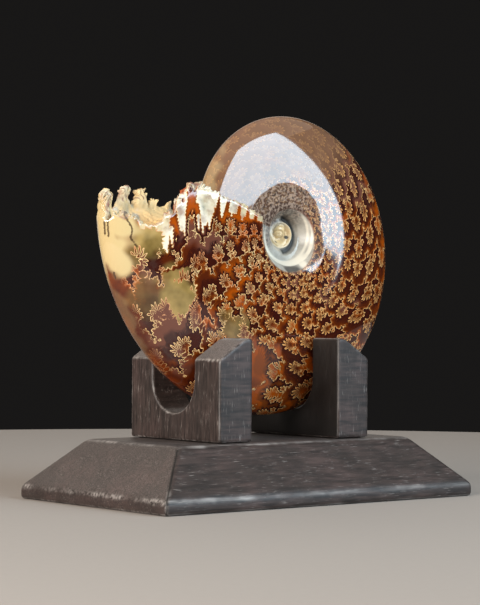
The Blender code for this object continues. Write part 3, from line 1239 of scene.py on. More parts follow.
@dataclass(frozen=True)
class Navel:
    """The hollow in a flank, where the shell's first turns show.

    Lengths are millimetres from the spiral's centre.

    Attributes:
        radius: Where the polished flank stops.
        lap: How far the hollow runs on under the flank's edge.
        columns: Vertices around it.
        rows: Vertices from its edge to its middle.
        dome_middle: Where the very first turn bulges, along x and z.
        dome_size: Half its length along x and z.
        dome_height: How far it stands up.
        ring: Radius, half width and height of the turn around it.
        groove: Radius, half width and depth of the groove outside that.
        rims: Radii of two pale lines on the wall.
        painted_light_lip: Radius of the lip at its lower edge, painted paler as light.
        pits: Small pits, painted near black as shade, along x and z.
    """

    radius: float = 15.0
    lap: float = 0.8
    columns: int = 240
    rows: int = 46
    dome_middle: tuple[float, float] = (0.4, 1.8)
    dome_size: tuple[float, float] = (2.9, 3.4)
    dome_height: float = 2.4
    ring: tuple[float, float, float] = (5.2, 1.7, 0.8)
    groove: tuple[float, float, float] = (8.1, 1.9, 2.2)
    rims: tuple[float, float] = (14.5, 12.9)
    painted_light_lip: float = 13.6
    pits: tuple[tuple[float, float], ...] = ((4.1, -1.0), (-2.7, -2.9))

    def dome(self, x: Array, z: Array) -> tuple[Array, Array]:
        """Place points about the first turn, in shares of its half lengths."""
        return ((x - self.dome_middle[0]) / self.dome_size[0],
                (z - self.dome_middle[1]) / self.dome_size[1])

    def height(self, angle: Array, r: Array) -> Array:
        """Extra height of the shell's first turns in the middle of the navel.

        Args:
            angle: Direction about the spiral's centre.
            r: Distance from it, in millimetres.

        Returns:
            The height in millimetres.
        """
        u, v = self.dome(r * np.cos(angle), r * np.sin(angle))
        dome = np.clip(1.0 - u**2 - v**2, 0.0, 1.0)
        below = smoothstep(0.75 - 0.6 * np.sin(angle - 0.5))
        place, wide, high = self.ring
        ring = np.clip(1.0 - ((r - place) / wide) ** 2, 0.0, 1.0) * below
        shelf = 0.6 * smoothstep((6.4 - r) / 1.2) * below
        place, wide, deep = self.groove
        groove = np.clip(1.0 - ((r - place) / wide) ** 2, 0.0, 1.0)
        groove = groove * smoothstep((np.cos(angle + 0.05) + 0.25) / 0.6)
        return self.dome_height * dome**0.7 + high * ring**0.8 + shelf - deep * groove

    def tones(self, angle: Array, r: Array) -> Array:
        """Work out the navel's own tints.

        Args:
            angle: Direction about the spiral's centre.
            r: Distance from it, in millimetres.

        Returns:
            Shares of grime (dust), painted shade in the groove and pits, chalky line with the lip
            painted paler as light, and cream heart for each place.
        """
        x, z = r * np.cos(angle), r * np.sin(angle)
        spot = np.stack([x, z, 0.0 * r], axis=1)
        mottle = cloud(spot, 3.0, 35) + 0.6 * cloud(spot, 1.2, 36)
        core = smoothstep((6.6 - r) / 0.8) * smoothstep(0.9 - 0.6 * np.sin(angle - 0.5))
        heart = np.maximum(core, smoothstep((1.1 - np.hypot(*self.dome(x, z))) / 0.3))
        heart = heart * (0.85 + 0.15 * mottle)
        # The groove and the pits are painted near black: painted shade.
        groove_shade = smoothstep(1.6 - np.abs(r - 8.0) / 1.1)
        groove_shade *= smoothstep((np.cos(angle + 0.05) + 0.2) / 0.4)
        for pit_x, pit_z in self.pits:
            groove_shade = np.maximum(groove_shade, smoothstep((1.1 - np.hypot(x - pit_x, z - pit_z)) / 0.5))
        groove_shade = np.clip(groove_shade + 0.10 * mottle * groove_shade, 0.0, 1.0)
        upper = smoothstep((np.cos(angle - 2.2) + 0.35) / 0.8) * smoothstep((r - 4.5) / 2.5)
        grime_and_shade = np.clip(upper * (0.75 + 0.35 * mottle), 0.0, 1.0) * (1.0 - heart)
        rim = np.minimum(np.abs(r - self.rims[0]), np.abs(r - self.rims[1]) + 0.25)
        chalk = smoothstep((0.9 - rim) / 0.5) * (0.80 + 0.30 * mottle)
        chalk *= smoothstep((np.cos(angle + 1.25) + 0.75) / 0.6)
        # The lip at the bottom is painted paler: painted light.
        painted_light_lip = smoothstep((1.6 - np.abs(r - self.painted_light_lip)) / 0.8)
        painted_light_lip *= smoothstep((np.cos(angle + 1.75) - 0.35) / 0.35)
        return np.stack([grime_and_shade, groove_shade, np.maximum(chalk, painted_light_lip), heart], axis=1)


@dataclass
class Ammonite:
    """The fossil: both polished flanks, the navels and the broken end.

    Attributes:
        low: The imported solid's lowest corner.
        high: Its highest corner.
    """

    low: Vector
    high: Vector
    spiral: Spiral = SPIRAL
    seams: Seams = field(default_factory=Seams)
    lean: float = math.radians(-1.1)
    end_from: float = math.radians(150.0)
    end_to: float = math.radians(184.0)
    hollow: Navel = Navel()
    columns: int = 600
    rows: int = 150
    end_step: float = 0.46
    tuck: float = 0.05
    front_break: tuple[tuple[float, float], ...] = (
        (0.14, 166.0), (0.20, 164.0), (0.29, 162.0), (0.38, 161.2), (0.50, 161.5),
        (0.58, 163.0), (0.64, 165.5), (0.69, 171.0), (0.74, 175.5), (0.80, 178.0),
        (0.86, 178.4), (0.92, 177.4), (1.00, 177.0),
    )
    back_break: tuple[tuple[float, float], ...] = (
        (0.14, 168.0), (0.25, 166.5), (0.36, 165.0), (0.50, 164.6), (0.60, 166.5),
        (0.70, 168.6), (0.80, 170.4), (0.90, 172.6), (0.96, 174.6), (1.00, 177.0),
    )
    bulbs: tuple[Bulb, ...] = (
        Bulb(Side.FRONT, 0.686, 4.8, 4.2, 4.0, 0.6), Bulb(Side.FRONT, 0.640, 5.2, 5.4, 4.4),
        Bulb(Side.FRONT, 0.594, 4.8, 5.4, 5.0, -0.6), Bulb(Side.FRONT, 0.545, 2.6, 5.4, 4.0),
        Bulb(Side.FRONT, 0.495, 1.5, 6.0, 3.0), Bulb(Side.FRONT, 0.440, 1.5, 5.6, 3.0),
        Bulb(Side.FRONT, 0.385, 1.3, 4.6, 3.0), Bulb(Side.FRONT, 0.330, 1.2, 4.6, 2.5),
        Bulb(Side.FRONT, 0.280, 1.2, 4.2, 2.5), Bulb(Side.FRONT, 0.235, 1.0, 3.4, 2.0),
        Bulb(Side.FRONT, 0.748, 1.6, 3.6, 2.0), Bulb(Side.FRONT, 0.905, 1.8, 6.0, 3.0),
        Bulb(Side.FRONT, 0.960, 2.6, 6.0, 3.0),
        Bulb(Side.BACK, 0.998, 10.0, 6.2, 3.6, 1.6), Bulb(Side.BACK, 0.950, 8.8, 4.6, 4.2, -0.8),
        Bulb(Side.BACK, 0.790, 7.6, 5.6, 3.2), Bulb(Side.BACK, 0.674, 6.5, 7.0, 3.4),
        Bulb(Side.BACK, 0.600, 2.4, 4.4, 2.6, -1.0), Bulb(Side.BACK, 0.490, 2.2, 2.4, 1.6),
    )
    # The split face is a dish: how deep it falls, and over how far from the skin.
    dish: tuple[tuple[float, float], ...] = ((6.5, 12.0), (1.6, 2.5))
    stand_back: float = 1.2
    stains: tuple[Stain, ...] = (
        Stain(Mineral.PALE, 0.60, 9.0, 16.0), Stain(Mineral.PALE, 0.86, 8.0, 6.0),
        Stain(Mineral.EMBER, 0.668, -13.5, 2.6), Stain(Mineral.EMBER, 0.745, -14.0, 1.6),
        Stain(Mineral.EMBER, 0.41, -18.0, 1.6),
    )
    dust_edge: tuple[tuple[float, float], ...] = (
        (184.0, 0.150), (300.0, 0.150), (330.0, 0.205), (374.0, 0.200), (404.0, 0.285),
        (426.0, 0.325), (449.0, 0.352), (470.0, 0.375), (492.0, 0.395), (510.0, 0.420),
    )
    cracks: tuple[tuple[tuple[float, float], ...], ...] = (
        ((174.5, 0.895), (176.2, 0.886), (177.8, 0.865), (180.2, 0.845), (182.7, 0.859),
         (185.3, 0.832)),
        ((178.0, 0.972), (181.6, 0.975)),
        ((177.6, 0.955), (181.9, 0.958)),
        ((191.5, 0.965), (193.0, 0.966)),
    )

    def stand_up(self, points: Array) -> Array:
        """Lean points of the flat spiral as the solid leans.

        Args:
            points: The points, one per row.

        Returns:
            The leaned points.
        """
        c, s = math.cos(self.lean), math.sin(self.lean)
        x, y, z = points.T
        return np.stack([x, c * y - s * z, s * y + c * z], axis=1)

    def offset(self) -> Array:
        """Find where the spiral's centre stands, from the solid's box.

        Returns:
            The centre, in millimetres.
        """
        angle = np.linspace(self.spiral.start + 0.3, self.spiral.start + TURN, 2000)
        r = self.spiral.radius(angle)
        rim = np.stack([r * np.cos(angle), 0 * r, r * np.sin(angle)], axis=1)
        rim = self.stand_up(rim)
        x = self.high.x / MM - rim[:, 0].max()
        z = self.low.z / MM - rim[:, 2].min()
        y = (self.low.y + self.high.y) / 2 / MM
        return np.array([x, y, z])

    def place(self, skin: Skin) -> Skin:
        """Move a skin of the flat spiral to where the solid stands.

        Args:
            skin: The skin, which is changed.

        Returns:
            The same skin.
        """
        skin.points = self.stand_up(skin.points) + self.offset()
        skin.normals = self.stand_up(skin.normals)
        return skin

    def tint(self, angle: Array, share: Array, side: Array, fresh: Array) -> dict[str, Array]:
        """Work out where each mineral lies.

        Args:
            angle: The whorl's turned angle.
            share: Length along the section, as a share of the flank's girth.
            side: -1 on the front flank and 1 on the back.
            fresh: How much each place belongs to the broken end.

        Returns:
            The tone and state fields of the finish.
        """
        radius = self.spiral.radius(angle)
        out = self.seams.reach(radius, share)
        where = np.stack([out * np.cos(angle), 30.0 * side, out * np.sin(angle)], axis=1)
        wobble = cloud(where, 7.0, 31) + 0.6 * cloud(where, 3.0, 32)
        tones, levels = [], []
        for n, mineral in enumerate(Mineral):
            level = np.zeros(len(angle))
            for patch in mineral.value:
                reach = self.seams.reach(radius, patch.share)
                u = (angle - math.radians(patch.angle)) * reach / patch.long
                v = (share - patch.share) * GIRTH * radius / patch.wide
                far = np.sqrt(u * u + v * v) + 0.45 * wobble
                level = np.maximum(level, patch.strength * smoothstep((1.4 - far) / 0.7))
            scatter = cloud(where, 15.0, 40 + n) + 0.5 * cloud(where, 6.0, 50 + n)
            spread = (9.0, 0.45, 0.45, 9.0)[n]
            stray = 0.85 * smoothstep((scatter - spread) / 0.30)
            tones.append(np.maximum(level, stray))
            levels.append(level)
        settled = smoothstep((np.degrees(angle) - 205.0) / 15.0)
        tones = [np.where(level > 0.0, tone, tone * settled) for tone, level in zip(tones, levels)]
        early = smoothstep(1.6 - (angle - self.spiral.start) / 0.9)
        plain = smoothstep((share - 0.90) / 0.05) * early
        plain = np.maximum(plain, smoothstep((tones[3] - 0.3) / 0.4))
        # From 392° on, the upper whorl's seams are washed out and its stone paled a little: a
        # painted sheen over the pattern.
        painted_sheen = smoothstep((angle - math.radians(392)) / 0.5) * smoothstep((share - 0.30) / 0.15)
        plain = np.maximum(plain, 0.82 * painted_sheen)
        tones[3] = np.maximum(tones[3], 0.10 * painted_sheen)
        edge = np.interp(np.degrees(angle), *np.array(self.dust_edge).T)
        dusty = smoothstep((edge + 0.012 * wobble - share) / 0.025)
        upper = smoothstep((angle - math.radians(395)) / 0.5)
        right = smoothstep((angle - math.radians(318)) / 0.4)
        dusty *= smoothstep((share - 0.118) / 0.02) * (0.34 + 0.14 * right + 0.50 * upper)
        pearly = smoothstep((0.135 - share) / 0.02)
        return {
            "tone": np.stack(tones, axis=1),
            "state": np.stack([plain, fresh, dusty, pearly], axis=1),
            "crack": self.crack_distance(angle, share),
        }

    def crack_distance(self, angle: Array, share: Array) -> Array:
        """Find how far each place is from a crack.

        Args:
            angle: The whorl's turned angle.
            share: Length along the section, as a share of the flank's girth.

        Returns:
            The distance in millimetres, at most 9.
        """
        radius = self.spiral.radius(angle)
        nearest = np.full(len(angle), 9.0)
        for crack in self.cracks:
            for (a0, s0), (a1, s1) in zip(crack, crack[1:]):
                scale = self.seams.reach(radius, s0)
                x = (angle - math.radians(a0)) * scale
                y = (share - s0) * GIRTH * radius
                dx = math.radians(a1 - a0) * scale
                dy = (s1 - s0) * GIRTH * radius
                along = np.clip((x * dx + y * dy) / (dx * dx + dy * dy), 0.0, 1.0)
                nearest = np.minimum(nearest, np.hypot(x - along * dx, y - along * dy))
        return nearest

    def flank_grid(self) -> tuple[Array, Array, Array]:
        """Spread columns evenly along the spiral and rows across the flank.

        Returns:
            Turned angle, distance from the centre and share of the girth, each
            one row per column of the grid.
        """
        fine = np.linspace(self.end_to, self.end_from + TURN, 4000)
        run = np.concatenate([[0.0], np.cumsum(np.diff(fine) * self.spiral.radius(fine[1:]))])
        angle = np.interp(np.linspace(0.0, run[-1], self.columns), run, fine)
        at, _, length = self.spiral.girth_table()
        radius = self.spiral.radius(angle)[:, None]
        inner = np.interp(self.hollow.radius / radius, at, length)
        steps = np.linspace(0.0, 1.0, self.rows)[None, :]
        along = inner + (GIRTH - inner) * (1.0 - steps**1.25)
        r = np.interp(along, length, at) * radius
        return np.repeat(angle[:, None], self.rows, axis=1), r, along / GIRTH

    def flank(self, side: Side, grid: tuple[Array, Array, Array],
              seam_fields: dict[str, Array]) -> Skin:
        """Model one polished flank, from the rim in to the navel.

        Args:
            side: Which flank.
            grid: What flank_grid() gives.
            seam_fields: What Seams.trace() gives for the grid.

        Returns:
            The flank's skin.
        """
        angle, r, share = grid
        half = self.spiral.thickness(angle) * np.maximum(
            self.spiral.profile(r / self.spiral.radius(angle)), 0.0)
        half[:, 0] = 0.0
        points = np.stack([r * np.cos(angle), side.value * half, r * np.sin(angle)], axis=2)
        across = np.gradient(points, axis=1)
        across[:, 0] = [0.0, side.value, 0.0]
        along = np.gradient(points, axis=0)
        normals = np.cross(across, along) * side.value
        normals[:, 0, 1] = 0.0
        normals /= np.linalg.norm(normals, axis=2)[..., None]
        quads = self.weave(self.columns, self.rows, side is Side.FRONT)
        flat = angle.ravel()
        fields = self.tint(flat, share.ravel(), np.full(len(flat), side.value), np.zeros(len(flat)))
        fields.update(seam_fields)
        return Skin(points.reshape(-1, 3), quads, normals.reshape(-1, 3), fields)

    @staticmethod
    def weave(columns: int, rows: int, flip: bool) -> Array:
        """Join a grid of vertices into faces.

        Args:
            columns: How many columns.
            rows: How many vertices in each.
            flip: Which way the faces look.

        Returns:
            The faces.
        """
        number = np.arange(columns * rows).reshape(columns, rows)
        quads = np.stack([number[:-1, :-1], number[:-1, 1:], number[1:, 1:], number[1:, :-1]],
                         axis=2).reshape(-1, 4)
        return quads[:, ::-1] if flip else quads

    def navel(self, side: Side) -> Skin:
        """Model the hollow in one flank, where the inner whorls show.

        Args:
            side: Which flank.

        Returns:
            The hollow's skin.
        """
        hollow = self.hollow
        angle = self.end_to + np.linspace(0.0, TURN, hollow.columns)[:, None]
        r = (hollow.radius + hollow.lap) * np.linspace(1.0, 0.002, hollow.rows)[None, :]
        angle, r = np.broadcast_arrays(angle, r)
        angle = np.where(angle > self.end_from + TURN + 0.21, angle - TURN, angle)
        half = self.spiral.depth(angle, r)
        half -= self.tuck * smoothstep((r - hollow.radius + 0.5) / 0.8)
        half += hollow.height(angle, r)
        half[-1] = half[0]
        points = np.stack([r * np.cos(angle), side.value * half, r * np.sin(angle)], axis=2)
        step = 0.06
        x, z = points[..., 0], points[..., 2]

        def height(dx: float, dz: float) -> Array:
            """Half thickness a small step away.

            Args:
                dx: The step along x.
                dz: The step along z.

            Returns:
                The half thickness in millimetres.
            """
            rr = np.hypot(x + dx, z + dz)
            turn = np.arctan2(z + dz, x + dx) - np.arctan2(z, x)
            turn = (turn + math.pi) % TURN - math.pi
            return self.spiral.depth(angle + turn, rr) + hollow.height(angle + turn, rr)

        slope_x = (height(step, 0) - height(-step, 0)) / (2 * step)
        slope_z = (height(0, step) - height(0, -step)) / (2 * step)
        normals = np.stack([-slope_x, np.full(x.shape, side.value), -slope_z], axis=2)
        normals /= np.linalg.norm(normals, axis=2)[..., None]
        quads = self.weave(hollow.columns, hollow.rows, side is Side.FRONT)
        radius = self.spiral.radius(angle)
        share = self.spiral.girth(r / radius, half / radius)
        share = np.minimum(share / GIRTH, 0.02 + 0.01 * r).ravel()
        flat = np.zeros(share.shape)
        fields = self.tint(angle.ravel(), share, flat + side.value, flat)
        fields["tone"] = hollow.tones(angle.ravel(), r.ravel())
        # No seam shows here, so the place lies deep inside one old chamber.
        fields.update(clear=flat - 1.0, chamber=flat + 30.5, gap=flat + 9.0, finger=flat,
                      reach=flat)
        return Skin(points.reshape(-1, 3), quads, normals.reshape(-1, 3), fields)

    def break_angle(self, at: Array, y: Array, thick: Array) -> Array:
        """Where the last chamber wall broke, from flank to flank.

        Args:
            at: Share of the whorl's radius.
            y: Distance from the middle plane.
            thick: The whorl's half thickness there.

        Returns:
            The angle of the broken line or face.
        """
        front = np.interp(at, *np.array(self.front_break).T)
        back = np.interp(at, *np.array(self.back_break).T)
        over = smoothstep(0.5 + 0.5 * y / np.maximum(thick, 1.0))
        return np.radians(front + (back - front) * over)

    def broken_end(self) -> Skin:
        """Carve the frilled end of the last whorl and the whorl it sits on.

        Returns:
            The end's skin.
        """
        block = Block((-106.5, -21.0, -12.0), (-8.0, 21.0, 54.0), self.end_step)
        x, y, z = block.axes()
        r = np.maximum(np.hypot(x, z), 1e-3) + 0.0 * y
        angle = np.arctan2(z, x) % TURN + 0.0 * y
        y = y + 0.0 * r
        last = self.spiral.outside(angle, r, y)
        inner = self.spiral.outside(angle + TURN, r, y)
        last = self.to_distance(last, block.step)
        inner = self.to_distance(inner, block.step)

        radius = self.spiral.radius(angle)
        at = r / radius
        under = np.maximum(-last, 0.0)
        edge = self.break_angle(at, y, self.spiral.thickness(angle))
        ahead = (edge - angle) * r
        dish = sum(deep * smoothstep(under / wide) for deep, wide in self.dish)
        face = ahead + dish + self.stand_back
        for bulb in self.bulbs:
            face = np.minimum(face, self.knob(bulb, radius, at, y, ahead, under))
        # Past the polished flank the stone is folded and stands back a little.
        loose = smoothstep((ahead + 0.4) / 1.6)
        fold = np.abs(np.sin((r - np.abs(y)) * 1.25 + 2.0 * np.sin(0.7 * ahead + 0.2 * r)))
        last = last + loose * (0.35 + 1.1 * (1.0 - fold))
        # Its hollows are kept, to be painted clay brown as shade.
        fold_shade = (loose * (1.0 - fold)).astype(np.float32)
        rim = np.abs(face) < 4.0
        spots = np.stack([np.broadcast_to(c, face.shape)[rim] for c in (x, y, z)], axis=1)
        face[rim] += 0.9 * cloud(spots, 3.4, 21) + 0.45 * cloud(spots, 1.5, 22)
        solid = np.minimum(smooth_max(last, face, 1.1), inner)
        skin = block.carve(solid.astype(np.float32))

        px, py, pz = skin.points.T
        r = np.hypot(px, pz)
        angle = np.arctan2(pz, px) % TURN
        split = block.read(face - last, skin.points)
        on_inner = block.read(smooth_max(last, face, 1.1) - inner, skin.points) > 0.0
        fresh = smoothstep((split + 1.2) / 1.6) * ~on_inner
        turned_angle = np.where(on_inner, angle + TURN, angle)
        turned, share = self.seams.measure(turned_angle, r, py)
        fields = self.tint(turned_angle, share, np.sign(py), fresh)
        fields.update(self.seams.trace(turned, share))
        raw = self.stained(skin.points, r / self.spiral.radius(angle))
        # Clay brown goes into the folds' hollows: painted shade.
        fold_shade_here = block.read(fold_shade, skin.points)
        raw[:, 1] = np.maximum(raw[:, 1], 0.9 * smoothstep((fold_shade_here - 0.35) / 0.4))
        fields["tone"] += (raw - fields["tone"]) * fresh[:, None]
        skin.fields = fields

        # Slide under the flanks and the navels where they meet.
        past = np.maximum((angle - self.end_to) * r, (self.end_from - angle) * r)
        past = np.maximum(past, self.hollow.radius - r)
        skin.points -= skin.normals * (self.tuck * smoothstep((past + 0.3) / 0.6))[:, None]
        middle = past[skin.quads].min(axis=1)
        return skin.keep(middle < 0.3)

    def stained(self, points: Array, at: Array) -> Array:
        """Work out the tints of the split surface.

        Args:
            points: Places on the flat spiral.
            at: Shares of the whorl's radius.

        Returns:
            The finish's four tones for each place.
        """
        tones = np.zeros((len(points), 4))
        wobble = 0.5 * cloud(points, 4.0, 23) + 0.3 * cloud(points, 1.8, 24)
        for stain in self.stains:
            away = np.hypot((at - stain.at) * 100.0, points[:, 1] - stain.y) / stain.size + wobble
            level = smoothstep((1.25 - away) / 0.5)
            column = list(Mineral).index(stain.mineral)
            tones *= (1.0 - level)[:, None]
            tones[:, column] = np.maximum(tones[:, column], level)
        return tones

    def knob(self, bulb: Bulb, radius: Array, at: Array, y: Array, ahead: Array,
             under: Array) -> Array:
        """Distance to one knob of the broken end.

        Args:
            bulb: The knob.
            radius: The whorl's outer radius at each place.
            at: Share of that radius.
            y: Distance from the middle plane.
            ahead: Distance past the broken line.
            under: Depth below the flank.

        Returns:
            The distances, negative inside.
        """
        lift = self.spiral.bulge * float(self.spiral.profile(bulb.at))
        middle = float(self.spiral.girth(np.array(bulb.at), np.array(lift)))
        far = np.full(radius.shape, FAR_OFF, np.float32)
        near = (np.abs(ahead) < 16.0) & (under < 12.0)
        share = self.spiral.girth(at[near], y[near] / radius[near])
        wanted = bulb.side.value
        across = (share - middle) * radius[near]
        other = (2.0 * GIRTH - share - middle) * radius[near]
        rng = np.random.default_rng(int(bulb.at * 1000) + 5000 * (wanted + 1))
        px, py = ahead[near], np.where(np.sign(y[near]) == wanted, across, other)
        w = bulb.width
        bars = [Bar(-6.0, 0.0, bulb.ahead - 0.88 * w, bulb.lean, 0.72 * w, 0.58 * w, reach=0.0)]
        for n in (-1.0, -0.35, 0.35, 1.0) if w > 4.0 else (-0.7, 0.7):
            size = 0.17 * w * rng.uniform(0.80, 1.20)
            tip = bulb.ahead - size - 0.20 * w * n * n * rng.uniform(0.5, 1.5)
            bars.append(Bar(tip - 2.4 * size, bulb.lean + 0.20 * w * n, tip,
                            bulb.lean + 0.42 * w * n, 0.9 * size, size, reach=0.0))
        shape = Course(np.full(px.shape, FAR_OFF), 0.0 * px, 0.0 * px, 1.0)
        shape.join(px, py, bars, 2.0, 1)
        deep = under[near] - bulb.thick
        inside = np.maximum(shape.level, deep)
        rounded = np.hypot(*(np.maximum(d + KNOB_ROUND, 0.0) for d in (shape.level, deep)))
        far[near] = rounded - KNOB_ROUND
        far[near] = np.where(inside < -KNOB_ROUND, inside, far[near])
        return far

    @staticmethod
    def to_distance(values: Array, step: float) -> Array:
        """Scale a field so that it grows by one for each millimetre."""
        slope = np.sqrt(sum(g * g for g in np.gradient(values, step)))
        return values / np.maximum(slope, 0.02)

    def build(self, finish: bpy.types.Material) -> list[bpy.types.Object]:
        """Make every piece of the fossil.

        Args:
            finish: Its material.

        Returns:
            The pieces.
        """
        grid = self.flank_grid()
        turned = grid[0].ravel() - self.spiral.start
        fields = self.seams.trace(turned, grid[2].ravel())
        made = []
        for side in Side:
            label = side.name.lower()
            made.append(self.place(self.flank(side, grid, fields)).piece(
                f"shell_{label}_flank", finish))
            made.append(self.place(self.navel(side)).piece(f"shell_{label}_navel", finish))
        made.append(self.place(self.broken_end()).piece("shell_broken_end", finish))
        for piece in made:
            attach(piece, "root")
            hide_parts("ammonite")
        return made


# ------------------------------------------------------------------ the stand


@dataclass(frozen=True)
class StainedHardwood:
    """Coarse hardwood, sawn, stained nearly black and finished with wax.

    Open pores run with the grain and hold pale wax; edges are worn back to a lighter grey, and the
    satin finish catches the light on every rounding. Tops and end slopes are painted paler as light
    from above, and faces that look into the stand are painted near black as shade.
    """

    stain: str = "#2B221F"
    worn_and_lit_grey: str = "#8E8884"
    pore: str = "#7E7772"
    bloom: str = "#362A27"
    # Near black: drawn along the base's corner lines, and painted as shade on the faces that look
    # into the stand.
    grime_and_shade: str = "#0C0A09"

    def make(self, name: str, grain: tuple[float, float, float]) -> bpy.types.Material:
        """Build the material for one direction of grain.

        Args:
            name: The material's name.
            grain: How much the pattern is squeezed along each axis.

        Returns:
            The finished material.
        """
        made, node = blank(name)
        place = node("TexCoord", out="Object")
        normal = node("TexCoord", out="Normal")
        wear, corner_line_and_shade, painted_top_light = (node("Attribute", out="Fac", attribute_name=label)
                              for label in ("wear", "corner_line_and_shade", "painted_top_light"))
        # Pores run along the grain and saw marks across it. Real pores are too fine
        # to show, so they are drawn 0.7 mm apart, and the marks 1.4 mm.
        drawn = node("Mapping", {"Vector": place, "Scale": grain})
        streak = node("TexNoise", {"Vector": drawn, "Scale": 1.5 / MM, "Detail": 3.0,
                                   "Roughness": 0.6})
        cloudy = node("TexNoise", {"Vector": place, "Scale": 0.055 / MM, "Detail": 4.0})
        bloom = node("MapRange", (cloudy, 0.42, 0.64))
        base = node("Mix", {0: bloom, 6: linear(self.stain), 7: linear(self.bloom)}, **COLOURS)
        ragged = node("TexNoise", {"Vector": drawn, "Scale": 0.42 / MM, "Detail": 3.0})
        sawn = node("Mapping", {"Vector": place, "Scale": (0.12, 0.12, 1.0)})
        sawn = node("TexNoise", {"Vector": sawn, "Scale": 0.7 / MM, "Detail": 2.0})
        fibres = node("Math", (ragged, 0.6, streak), operation="MULTIPLY_ADD")
        fibres = node("Math", (fibres, 0.2), operation="ADD")
        marks = node("Math", (sawn, 1.3, 0.35), operation="MULTIPLY_ADD")
        across = node("SeparateXYZ", {0: normal}, out=1)
        across = node("Math", (across,), operation="ABSOLUTE")
        across = node("Math", (across, 0.75), operation="MULTIPLY")
        tone = node("Mix", {0: across, 2: fibres, 3: marks}, out=0)
        tone = node("MapRange", (tone, 0.84, 1.16, 0.48, 1.52))
        base = node("Mix", {0: 1.0, 6: base, 7: tone}, blend_type="MULTIPLY", **COLOURS)
        pores = node("MapRange", (streak, 0.60, 0.68))
        gate = node("TexNoise", {"Vector": place, "Scale": 0.21 / MM, "Detail": 2.0})
        gate = node("MapRange", (gate, 0.44, 0.62, 0.0, 0.75))
        pores = node("Math", (pores, gate), operation="MULTIPLY")
        ragged = node("MapRange", (ragged, 0.35, 0.62))
        wear_and_top_light = node("Math", (wear, ragged), operation="MULTIPLY")
        # Tops and end slopes take the pale grey in flecks along the grain: painted light from
        # above.
        flecks = node("MapRange", (streak, 0.36, 0.64, 0.2, 1.8))
        painted_top_light = node("Math", (painted_top_light, flecks), operation="MULTIPLY")
        # Then come pale pores, worn edges, tops and end slopes painted paler as light, and
        # near-black corner lines and painted shade.
        for share, tint in ((pores, self.pore), (wear_and_top_light, self.worn_and_lit_grey), (painted_top_light, self.worn_and_lit_grey),
                            (corner_line_and_shade, self.grime_and_shade)):
            base = node("Mix", {0: share, 6: base, 7: linear(tint)}, **COLOURS)
        satin = node("MapRange", (streak, 0.3, 0.7, 0.42, 0.58))
        bump = node("Bump", {"Height": streak, "Distance": 0.06 * MM, "Strength": 0.8})
        shader = node("BsdfPrincipled", {"Base Color": base, "Roughness": satin, "IOR": 1.45,
                                         "Normal": bump})
        node("OutputMaterial", {"Surface": shader})
        return made


@dataclass
class StandPart:
    """One wooden piece of the stand, carved in the solid's own box.

    Attributes:
        name: The piece's name.
        node: The solid that it stands for.
        step: Spacing of the carving samples, in millimetres.
        round_radius: How far the edges are rounded.
        grain: Squeeze of the grain pattern along each axis.
        wear_and_top_light: How much paler its top and its end slopes are painted, as light from
            above.
    """

    name: str
    node: str
    step: float
    round_radius: float
    grain: tuple[float, float, float]
    wear_and_top_light: float

    def box(self) -> tuple[Array, Array]:
        """Give the solid's lowest and highest corners in millimetres."""
        low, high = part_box(self.node)
        return np.array(low) / MM, np.array(high) / MM

    def planes(self, x: Array, y: Array, z: Array) -> list[Array]:
        """List the faces as distances, negative inside."""
        raise NotImplementedError

    def seam_gap(self, points: Array) -> Array:
        """Distance from each vertex to a joint line drawn darker, if there is one."""
        return np.full(len(points), 99.0)

    def build(self, wood: StainedHardwood) -> bpy.types.Object:
        """Carve the piece and finish it.

        Args:
            wood: The stand's finish.

        Returns:
            The piece.
        """
        low, high = self.box()
        pad = 2.0 * self.step
        block = Block(tuple(low - pad), tuple(high + pad), self.step)
        x, y, z = block.axes()
        rho = self.round_radius
        faces = [np.maximum(d + rho, 0.0) for d in self.planes(x, y, z)]
        square = sum(d * d for d in faces)
        inside = np.maximum.reduce([d + rho + 0.0 * square for d in self.planes(x, y, z)])
        solid = np.sqrt(square) + np.minimum(inside, 0.0) - rho
        skin = block.carve(solid.astype(np.float32))
        nearest = np.sort(np.stack([
            np.abs(np.broadcast_to(d, (len(skin.points),)))
            for d in self.planes(*skin.points.T)]), axis=0)
        edge = nearest[1]
        rough = cloud(skin.points, 9.0, 3) + 0.6 * cloud(skin.points, 2.6, 4)
        wear = smoothstep((0.75 * rho + 0.30 * rough - edge) / (0.65 * rho))
        chips = np.clip(-cloud(skin.points, 3.1, 8) - 0.25, 0.0, 1.0) * wear
        skin.points -= skin.normals * (0.35 * chips)[:, None]
        # Faces that look up, but not to the front or back, are painted paler: painted light from
        # above.
        up = smoothstep((skin.normals[:, 2] - 0.35) / 0.2)
        up *= smoothstep((0.55 - np.abs(skin.normals[:, 1])) / 0.2)
        skin.fields["wear"] = wear * (0.65 + 0.35 * rough)
        skin.fields["painted_top_light"] = self.wear_and_top_light * up
        skin.fields["corner_line_and_shade"] = smoothstep((0.75 - self.seam_gap(skin.points)) / 0.5)
        # Faces that look in toward the stand's middle are painted near black: painted shade between
        # the uprights.
        facing = skin.normals[:, 0] * np.sign((low[0] + high[0]) / 2.0)
        below = 0.9 * smoothstep((-facing - 0.7) / 0.2)
        skin.fields["corner_line_and_shade"] = np.maximum(skin.fields["corner_line_and_shade"], below)
        made = skin.piece(self.name, wood.make(f"stained_wood_{self.name}", self.grain))
        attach(made, "root")
        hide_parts(self.node)
        return made


